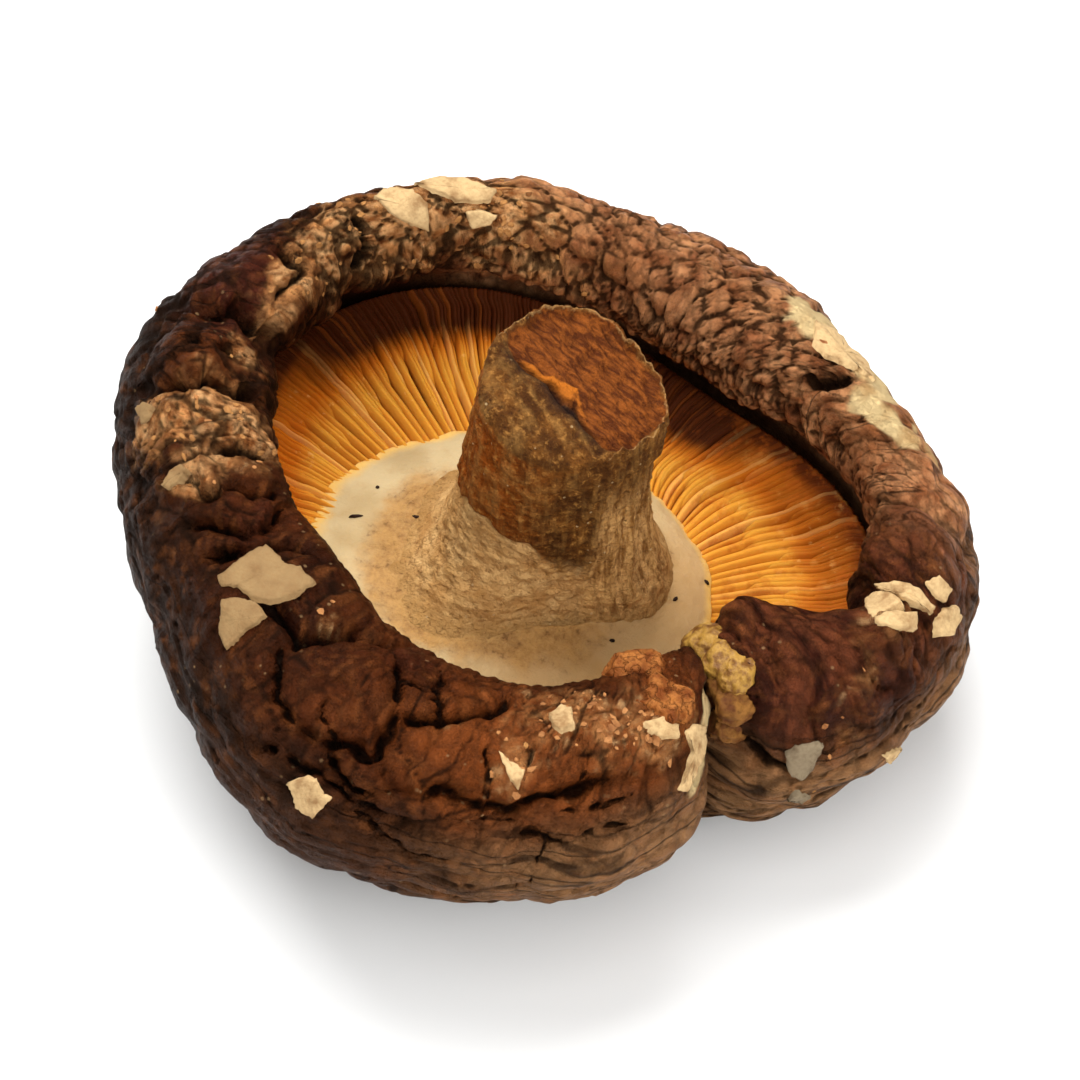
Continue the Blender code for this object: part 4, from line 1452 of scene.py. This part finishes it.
def skin_material():
    """Dried skin: dark brown with a fine net of creases, and gold-brown chips where it is crusty; its
    colour also holds painted light and painted shade.
    """
    s = Shading("dried_skin")
    crack, raised, gap, warm, purple, crust = s.attributes("crack raised gap warm purple crust")
    grit, flesh, wall, crown, upper = s.attributes("grit flesh wall crown upper")
    peeled, lined, folded, lobe = s.attributes("peeled lined folded lobe")
    right_side, left_side = s.attributes("right_side left_side")
    drum = s.attribute("drum", "Vector")
    broad, patch, grain = s.noise(6.0), s.noise(1.6, 4.0), s.noise(0.35, 4.0, 0.65)
    jitter = s.add("ShaderNodeTexNoise", None, {"Scale": 1 / (JITTER * MM), "Detail": 2.0}, "Color")
    bent = {0: jitter, 1: (JITTER * MM,) * 3, 2: drum}
    bent = s.add("ShaderNodeVectorMath", {"operation": "MULTIPLY_ADD"}, bent)
    chip, chance = s.chips(0.95, s.stretched((0.7, 0.7, 1.0), bent))
    net, net_tone = s.chips(1.15, bent)
    fine_net, fine_tone = s.chips(0.5, bent)

    s.colour = s.mix(broad.step(0.35, 0.65), (54, 21, 8), (90, 42, 16))
    # Painted light: the top of the back rim is lightened, as if lit from above.
    s.coat(upper * 0.9, s.mix(patch.step(0.3, 0.7), (170, 102, 62), (250, 178, 120)))
    # Painted light: the wall turns paler towards the right, as if lit from that side.
    dark_wall = s.mix(patch, (58, 32, 17), (94, 57, 33))
    painted_lit_wall = s.mix(patch, (154, 108, 68), (204, 150, 100))
    s.coat(wall * 0.8, s.mix(right_side, dark_wall, painted_lit_wall))
    # Painted shade: the left side of the cap is darkened, as if in shadow.
    s.coat(left_side * 0.7, (26, 12, 6))
    s.coat(crown * 0.8, s.mix(patch, (84, 58, 38), (124, 92, 62)))
    s.coat(warm.ragged(patch, 0.5, 0.1, 0.9), (134, 68, 28))
    s.coat(purple.ragged(patch, 0.4, 0.15, 0.9), (78, 34, 22))
    streak = s.noise(1.6, 4.0, 0.65, s.stretched((1.0, 1.0, 0.25), drum))
    s.coat(lobe * 0.7, s.mix(streak.step(0.42, 0.62), (44, 16, 11), (122, 64, 38)))
    s.coat((net_tone * 0.5 + fine_tone * 0.5).step(0.45, 1.0) * 0.40, (150, 86, 42))
    # Lighter on the crests of the relief: painted highlight, partly rubbed wear.
    s.coat((raised * 0.4).ragged(grain, 1.5, 0.3, 1.1) * 0.35, (178, 106, 54))
    s.coat((raised * 0.5).ragged(patch, 1.4, 0.2, 0.9) * folded * 0.4, (142, 90, 68))
    s.coat(net.step(0.10, 0.0) * 0.55, (26, 12, 5))

    wall_line = s.lines(2.6, 0.020, s.stretched((0.13, 0.13, 1.0), drum)) * lined
    fold_line = s.lines(2.0, 0.022, s.stretched((1.0, 1.0, 0.13), drum)) * folded
    line = (wall_line + fold_line).clamped()
    s.coat(line * 0.75, (24, 12, 6))

    fleck = s.noise(0.6, 5.0, 0.72, s.stretched((0.6, 0.6, 1.0), bent))
    on_chip = (crust * 1.15 - chance * 0.85).ragged(patch, 0.9, 0.08, 0.45)
    crusty = s.mix(fleck.step(0.36, 0.60), (132, 70, 28), (246, 172, 104))
    crusty = s.mix(on_chip * fleck.step(0.40, 0.60) * 0.6, crusty, (240, 192, 134))
    crack_line = s.lines(1.3, 0.028, bent, 4.0) + chip.step(0.05, 0.01) * patch.step(0.4, 0.6) * 0.7
    crack_line = crack_line.clamped()
    crusty = s.mix(crack_line * 0.85, crusty, (48, 20, 8))
    in_crust = crust.ragged(patch, 1.1, 0.15, 0.8)
    s.coat(in_crust, crusty)
    dusty = s.mix(fleck.step(0.4, 0.6), (134, 70, 30), (214, 148, 88))
    s.coat(grit.ragged(patch, 1.2, 0.25, 1.0) * 0.7, dusty)
    grain_on = (grit * 1.1 - chance * 0.6).ragged(patch, 0.8, 0.1, 0.4)
    grain_on = grain_on * s.noise(0.6, 3.0, 0.6, bent).step(0.57, 0.62)
    s.coat(grain_on * 0.85, s.mix(fine_tone, (222, 178, 124), (166, 108, 58)))
    s.coat(peeled, s.mix(patch.step(0.4, 0.7), (240, 208, 150), (206, 162, 106)))
    # Painted glints: small pale specks, as if light caught tiny bumps.
    painted_glint = s.cells(0.9).step(0.16, 0.10) * s.noise(5.0).step(0.5, 0.6)
    s.coat(painted_glint * 0.45, (190, 150, 104))
    # Painted shade in the grooves and creases: darkened where the crack and gap values lie, on top of
    # their cut relief.
    dark = (crack * 1.2).ragged(grain, 0.3, 0.15, 0.8)
    split = gap.ragged(grain, 0.6, 1.25, 0.6)
    s.coat(dark * 0.8, (26, 12, 5))
    s.coat(split * 0.92, (14, 6, 3))
    # Painted shade: the inner wall under the rolled lip is near black, as if in the lip's shadow.
    s.coat(flesh * 0.95, (34, 14, 4))

    net_height = net.step(0.0, 0.22) + fine_net.step(0.0, 0.25) * 0.35 + net_tone * 0.5
    chip_height = fleck * 1.6 - crack_line * 0.7 + chance * 0.3
    height = net_height * (1 - in_crust) + chip_height * in_crust + grain_on
    return s.finish(
        0.27 + grain * 0.22 + dark * 0.3 + (in_crust + peeled).clamped() * 0.3,
        (height, 0.16), (split * -1 - line * 0.6, 0.26), (s.noise(0.7, 5.0, 0.7), 0.26), (grain, 0.06),
        Specular_IOR_Level=0.07, Specular_Tint=WARM_SHEEN,
    )


def flake_material(name, light, dark):
    """Brittle scale: mottled, with darker stains and a dry, chalky surface."""
    s = Shading(name)
    stains, grain = s.noise(1.5, 4.0, 0.6), s.noise(0.25, 3.0, 0.6)
    s.colour = s.mix(stains.step(0.45, 0.75), light, dark)
    # Painted shade: flakes on the left side are darkened, as if in shadow.
    s.coat(s.attribute("left_flake_painted_shade") * 0.9, s.mix(stains, (150, 122, 80), (100, 68, 38)))
    s.coat(grain.step(0.35, 0.8) * 0.35, dark)
    reliefs = (s.noise(0.6, 4.0, 0.6), 0.12), (grain, 0.05)
    return s.finish(0.72 + grain * 0.2, *reliefs, Specular_IOR_Level=0.15)


def gill_material():
    """Gills: yellow by the veil, amber in the middle, darker towards the rim, with painted shade under
    the back and right rims and between the blades.
    """
    s = Shading("gill_flesh")
    reach, level, tone, shade, smeared = s.attributes("reach level tone shade smeared")
    blotch, grain = s.noise(3.0, 3.0), s.noise(0.4, 3.0)
    spread = reach + (blotch - 0.5) * 0.16
    s.colour = s.mix(spread.step(0.28, 0.50), (208, 140, 46), (188, 98, 16))
    # Darker towards the rim: partly the gills' own colour, partly painted shade under the overhanging
    # rim.
    s.coat(spread.step(0.60, 0.95), (120, 50, 8))
    # Painted shade: darkened under the back and right rims, as if in their shadow.
    s.coat(shade.ragged(blotch, 0.3, 0.0, 0.9), (58, 20, 2))
    lit = 1 - shade
    s.coat(tone.step(0.84, 1.0) * lit * 0.35, (230, 172, 100))
    s.coat(tone.step(0.30, 0.0) * 0.25, (150, 76, 20))
    # Painted shade: darker low down between the blades.
    s.coat((1 - level) * (0.4 - smeared * 0.2), (128, 62, 14))
    s.coat(s.noise(1.4, 4.0, 0.65).step(0.5, 0.64) * smeared * 0.4, (168, 82, 20))
    s.coat(s.noise(1.1, 3.0).step(0.55, 0.7) * smeared * lit * 0.3, (222, 156, 76))
    glint = s.noise(0.5, 3.0, 0.6).step(0.6, 0.72) * s.noise(4.0).step(0.5, 0.62) * lit
    s.coat(glint * 0.35, (236, 180, 104))
    return s.finish(
        0.6 + grain * 0.2, (grain, 0.05), Specular_IOR_Level=0.1, Specular_Tint=WARM_SHEEN,
        Subsurface_Weight=0.2, Subsurface_Radius=(1.0, 0.4, 0.1), Subsurface_Scale=0.001,
    )


def veil_material():
    """Felt: pale cream with soft stains, tan and crumbly by the stem's foot, yellow at its rim."""
    s = Shading("veil_felt")
    reach, near_foot, right_side = s.attributes("reach near_foot right_side")
    broad, patch, grain = s.noise(5.0, 2.0), s.noise(1.3, 4.0), s.noise(0.22, 3.0, 0.65)
    blotch, crumb = s.noise(2.2, 2.5), s.noise(0.8, 4.0, 0.7)
    s.colour = s.mix(broad.step(0.35, 0.7), (190, 166, 124), (170, 144, 102))
    s.coat(patch.step(0.5, 0.8) * 0.3, (164, 128, 78))
    # Painted shade: the veil right of the stem is darkened, as if in the stem's shadow.
    s.coat(right_side * 0.6, (176, 128, 72))
    foot = (near_foot + (grain - 0.5) * 0.2).ragged(blotch, 1.1, 0.15, 0.9)
    s.coat(foot * 0.85, s.mix(crumb.step(0.38, 0.70), (176, 130, 72), (138, 94, 48)))
    crumbs = crumb.step(0.58, 0.68) * near_foot.ragged(blotch, 1.4, 0.1, 0.6)
    s.coat(crumbs * 0.45, (88, 56, 28))
    s.coat(reach.ragged(patch, 0.1, 0.86, 1.0), (222, 174, 92))
    return s.finish(
        0.9, (grain, 0.05), (s.noise(0.9, 4.0, 0.6), 0.12), (s.noise(0.5, 4.0, 0.65) * near_foot, 0.3),
        Specular_IOR_Level=0.1,
        Subsurface_Weight=0.2, Subsurface_Radius=(1.0, 0.7, 0.4), Subsurface_Scale=0.0008,
    )


def stem_material():
    """Stem: tan and crumbly at its foot, brown above, with an orange-brown cut."""
    s = Shading("stem_fibre")
    cut, skinned, relief, strands, turn = s.attributes("cut skinned relief strands turn")
    fringe, crease, beside, pale = s.attributes("fringe crease beside pale")
    patch, grain, granule = s.noise(1.8, 4.0, 0.6), s.noise(0.3, 4.0, 0.65), s.noise(0.45, 5.0, 0.7)
    fibre = s.noise(0.5, 4.0, 0.6, s.stretched((1.0, 1.0, 0.16)))
    bark = s.mix(patch.step(0.35, 0.7), (76, 42, 14), (116, 70, 26))
    bark = s.mix(turn.ragged(patch, 0.6, 0.0, 0.9) * 0.8, bark, (142, 66, 8))
    crumbly = s.mix(patch.step(0.3, 0.7), (226, 180, 118), (196, 144, 84))
    crumbly = s.mix(grain.step(0.5, 0.75) * 0.45, crumbly, (146, 94, 46))
    felt = s.mix(patch, (192, 150, 92), (166, 120, 68))
    foot_colour = s.mix(pale.ragged(patch, 0.6, 0.3, 1.0), crumbly, felt)
    s.colour = s.mix(skinned.ragged(patch, 0.5, 0.2, 0.8), foot_colour, bark)
    s.coat(strands * 0.9, s.mix(fibre.step(0.35, 0.65), (128, 82, 38), (234, 180, 112)))
    s.coat(granule.step(0.52, 0.68) * skinned * 0.5, (196, 138, 68))
    s.coat(granule.step(0.46, 0.34) * skinned * 0.6, (52, 26, 8))
    s.coat((fibre + relief * 0.3).step(0.5, 0.95) * 0.3, (192, 140, 74))
    shadow = (relief * -1).ragged(grain, 1.0, 0.1, 0.9) * 0.4 * (0.3 + skinned * 0.7)
    s.coat(shadow * (1 - pale * 0.8), (50, 26, 9))
    crumb_gap = (1 - skinned) * s.noise(0.55, 5.0, 0.7).step(0.44, 0.36)
    s.coat(crumb_gap * 0.55, (128, 80, 38))
    s.coat(s.cells(1.1).step(0.10, 0.06) * 0.6, (214, 180, 130))

    streak = s.noise(0.34, 4.0, 0.6, s.stretched((0.12, 1.0, 1.0), turn=CUT_FIBRE_WAY))
    cut_colour = s.mix(streak.step(0.35, 0.65), (84, 38, 12), (146, 78, 28))
    cut_colour = s.mix((patch + relief * -0.3).step(0.45, 0.8) * 0.55, cut_colour, (60, 26, 8))
    glow = (beside + (streak - 0.5) * 0.9).ragged(patch, 0.9, 0.25, 1.0)
    s.coat(cut, s.mix(glow * 0.85, cut_colour, (206, 116, 34)))
    # Painted shade: the crease beside the shoulder is dark, over its cut groove.
    s.coat(crease, (32, 17, 16))
    s.coat(fringe.ragged(grain, 1.0, 0.6, 1.1) * 0.7, (208, 160, 100))
    return s.finish(
        0.7, (streak, 0.2), (granule, 0.18), (fibre * (skinned + strands).clamped(), 0.14),
        (s.noise(0.6, 5.0, 0.65), 0.28), (grain, 0.1), **DRY_GLOSS,
    )


def curl_material():
    """The curled end of the lip: orange-brown flesh with faint furrows."""
    s = Shading("curled_flesh")
    patch, grain, furrow = s.noise(1.0, 4.0), s.noise(0.25, 4.0), s.lines(0.9, 0.03, s.place, 3.0)
    s.colour = s.mix(patch.step(0.35, 0.65), (112, 56, 20), (166, 102, 48))
    s.coat(grain.step(0.45, 0.7) * 0.6, (72, 30, 9))
    s.coat(furrow * 0.2, (64, 26, 8))
    return s.finish(0.4 + grain * 0.25, (s.noise(0.6, 4.0, 0.6) - furrow * 0.3, 0.4), **DRY_GLOSS)


def fold_material():
    """Brown flesh between the folds of the cleft."""
    s = Shading("cleft_fold")
    patch, grain = s.noise(1.0, 4.0), s.noise(0.25, 4.0)
    s.colour = s.mix(patch.step(0.35, 0.65), (84, 46, 22), (132, 88, 40))
    s.coat(grain.step(0.5, 0.75) * 0.5, (44, 22, 10))
    return s.finish(0.5 + grain * 0.2, (s.noise(0.5, 4.0, 0.6), 0.2), **DRY_GLOSS)


def torn_material():
    """Torn gill flesh in the cleft: yellow and spongy."""
    s = Shading("torn_flesh")
    patch, grain = s.noise(0.8, 4.0), s.noise(0.25, 4.0)
    s.colour = s.mix(patch.step(0.35, 0.6), (106, 66, 24), (166, 124, 52))
    s.coat(grain.step(0.5, 0.75) * 0.4, (88, 50, 14))
    return s.finish(0.5, (s.noise(0.8, 4.0, 0.6), 0.3), Specular_IOR_Level=0.25)


def lump(name, middle, sizes, rough, seed, material):
    """A lumpy ball: an ellipsoid over two angles, pushed out by noise of four sizes."""
    climb = np.linspace(0, math.pi, LUMP_ROWS)[:, None]
    turn = np.arange(LUMP_COLUMNS)[None, :] * 2 * math.pi / LUMP_COLUMNS
    ball = np.broadcast_arrays(np.sin(climb) * np.cos(turn), np.sin(climb) * np.sin(turn), -np.cos(climb))
    ball = np.stack(ball, -1)
    noise = swells(ball * 3, (1.3, 1.9, seed), (0.15, 0.5, seed + 2))
    noise = noise + ridges(ball * 3, (0.5, 1.2, seed + 1), (0.2, 0.7, seed + 40))
    push = rough * noise[..., None] * min(sizes) / np.array(sizes)
    surface = middle + ball * np.array(sizes) * (1 + push)
    surface[0], surface[-1] = surface[0].mean(0), surface[-1].mean(0)
    points, faces = capped_grid(surface)
    mesh_piece(name, points, faces, material)


def make_cleft_flesh(skin):
    """The curled end of the lip beside the veil, and the torn and folded flesh in the cleft."""
    finishes = {"curl": curl_material(), "torn": torn_material(), "fold": fold_material()}
    for number, (name, pixel, sizes, sink, rough, finish, slot) in enumerate(CLEFT_LUMPS):
        spot = skin.seen_at(pixel)
        middle = skin.points[spot] - sink * skin.normal[spot]
        lump(name, middle, sizes, rough, 200 + 3 * number, finishes[finish])


def turned_to(name, data, position, aim):
    """An object whose Z axis points along aim, so that it looks or shines the other way."""
    item = bpy.data.objects.new(name, data)
    item.location = position
    item.rotation_mode = "QUATERNION"
    item.rotation_quaternion = aim.to_track_quat("Z", "Y")
    bpy.context.scene.collection.objects.link(item)
    return item


def make_stage():
    """A pale floor, four soft lights and the camera."""
    floor_material = bpy.data.materials.new("pale_floor")
    floor_material.use_nodes = True
    shader = floor_material.node_tree.nodes["Principled BSDF"]
    shader.inputs["Base Color"].default_value = FLOOR_COLOUR
    shader.inputs["Roughness"].default_value = 0.9
    mesh = bpy.data.meshes.new("floor")
    corners = [(FLOOR_HALF * x, FLOOR_HALF * y, 0.0) for x, y in ((-1, -1), (1, -1), (1, 1), (-1, 1))]
    mesh.from_pydata(corners, [], [(0, 1, 2, 3)])
    mesh.materials.append(floor_material)
    floor = bpy.data.objects.new("floor", mesh)
    floor.location.z = -FLOOR_DROP
    bpy.context.scene.collection.objects.link(floor)

    for name, position, size, power in LIGHTS:
        light = bpy.data.lights.new(name, "AREA")
        light.energy = power
        light.size = size
        turned_to(name, light, position, Vector(position) - Vector(LIGHT_AIM))

    world = bpy.data.worlds.new("studio")
    world.use_nodes = True
    background = world.node_tree.nodes["Background"]
    background.inputs["Color"].default_value = (1.0, 1.0, 1.0, 1.0)
    background.inputs["Strength"].default_value = WORLD_STRENGTH
    bpy.context.scene.world = world
    bpy.context.scene.view_settings.view_transform = "Standard"

    back = Vector(view_axes()[2])
    lens = bpy.data.cameras.new("camera")
    lens.sensor_width = SENSOR_WIDTH
    lens.lens = SENSOR_WIDTH * CAMERA_DISTANCE / VIEW_WIDTH
    lens.clip_start = 0.01
    eye = Vector(place(np.array(AIM))) + back * CAMERA_DISTANCE * MM
    bpy.context.scene.camera = turned_to("camera", lens, eye, back)


make_stage()
skin = Skin()
make_cap(skin)
make_flakes(skin)
for grain_set in GRAINS:
    make_grains(skin, *grain_set)
make_cleft_flesh(skin)
make_gills()
make_veil_specks(make_veil())
make_stem()
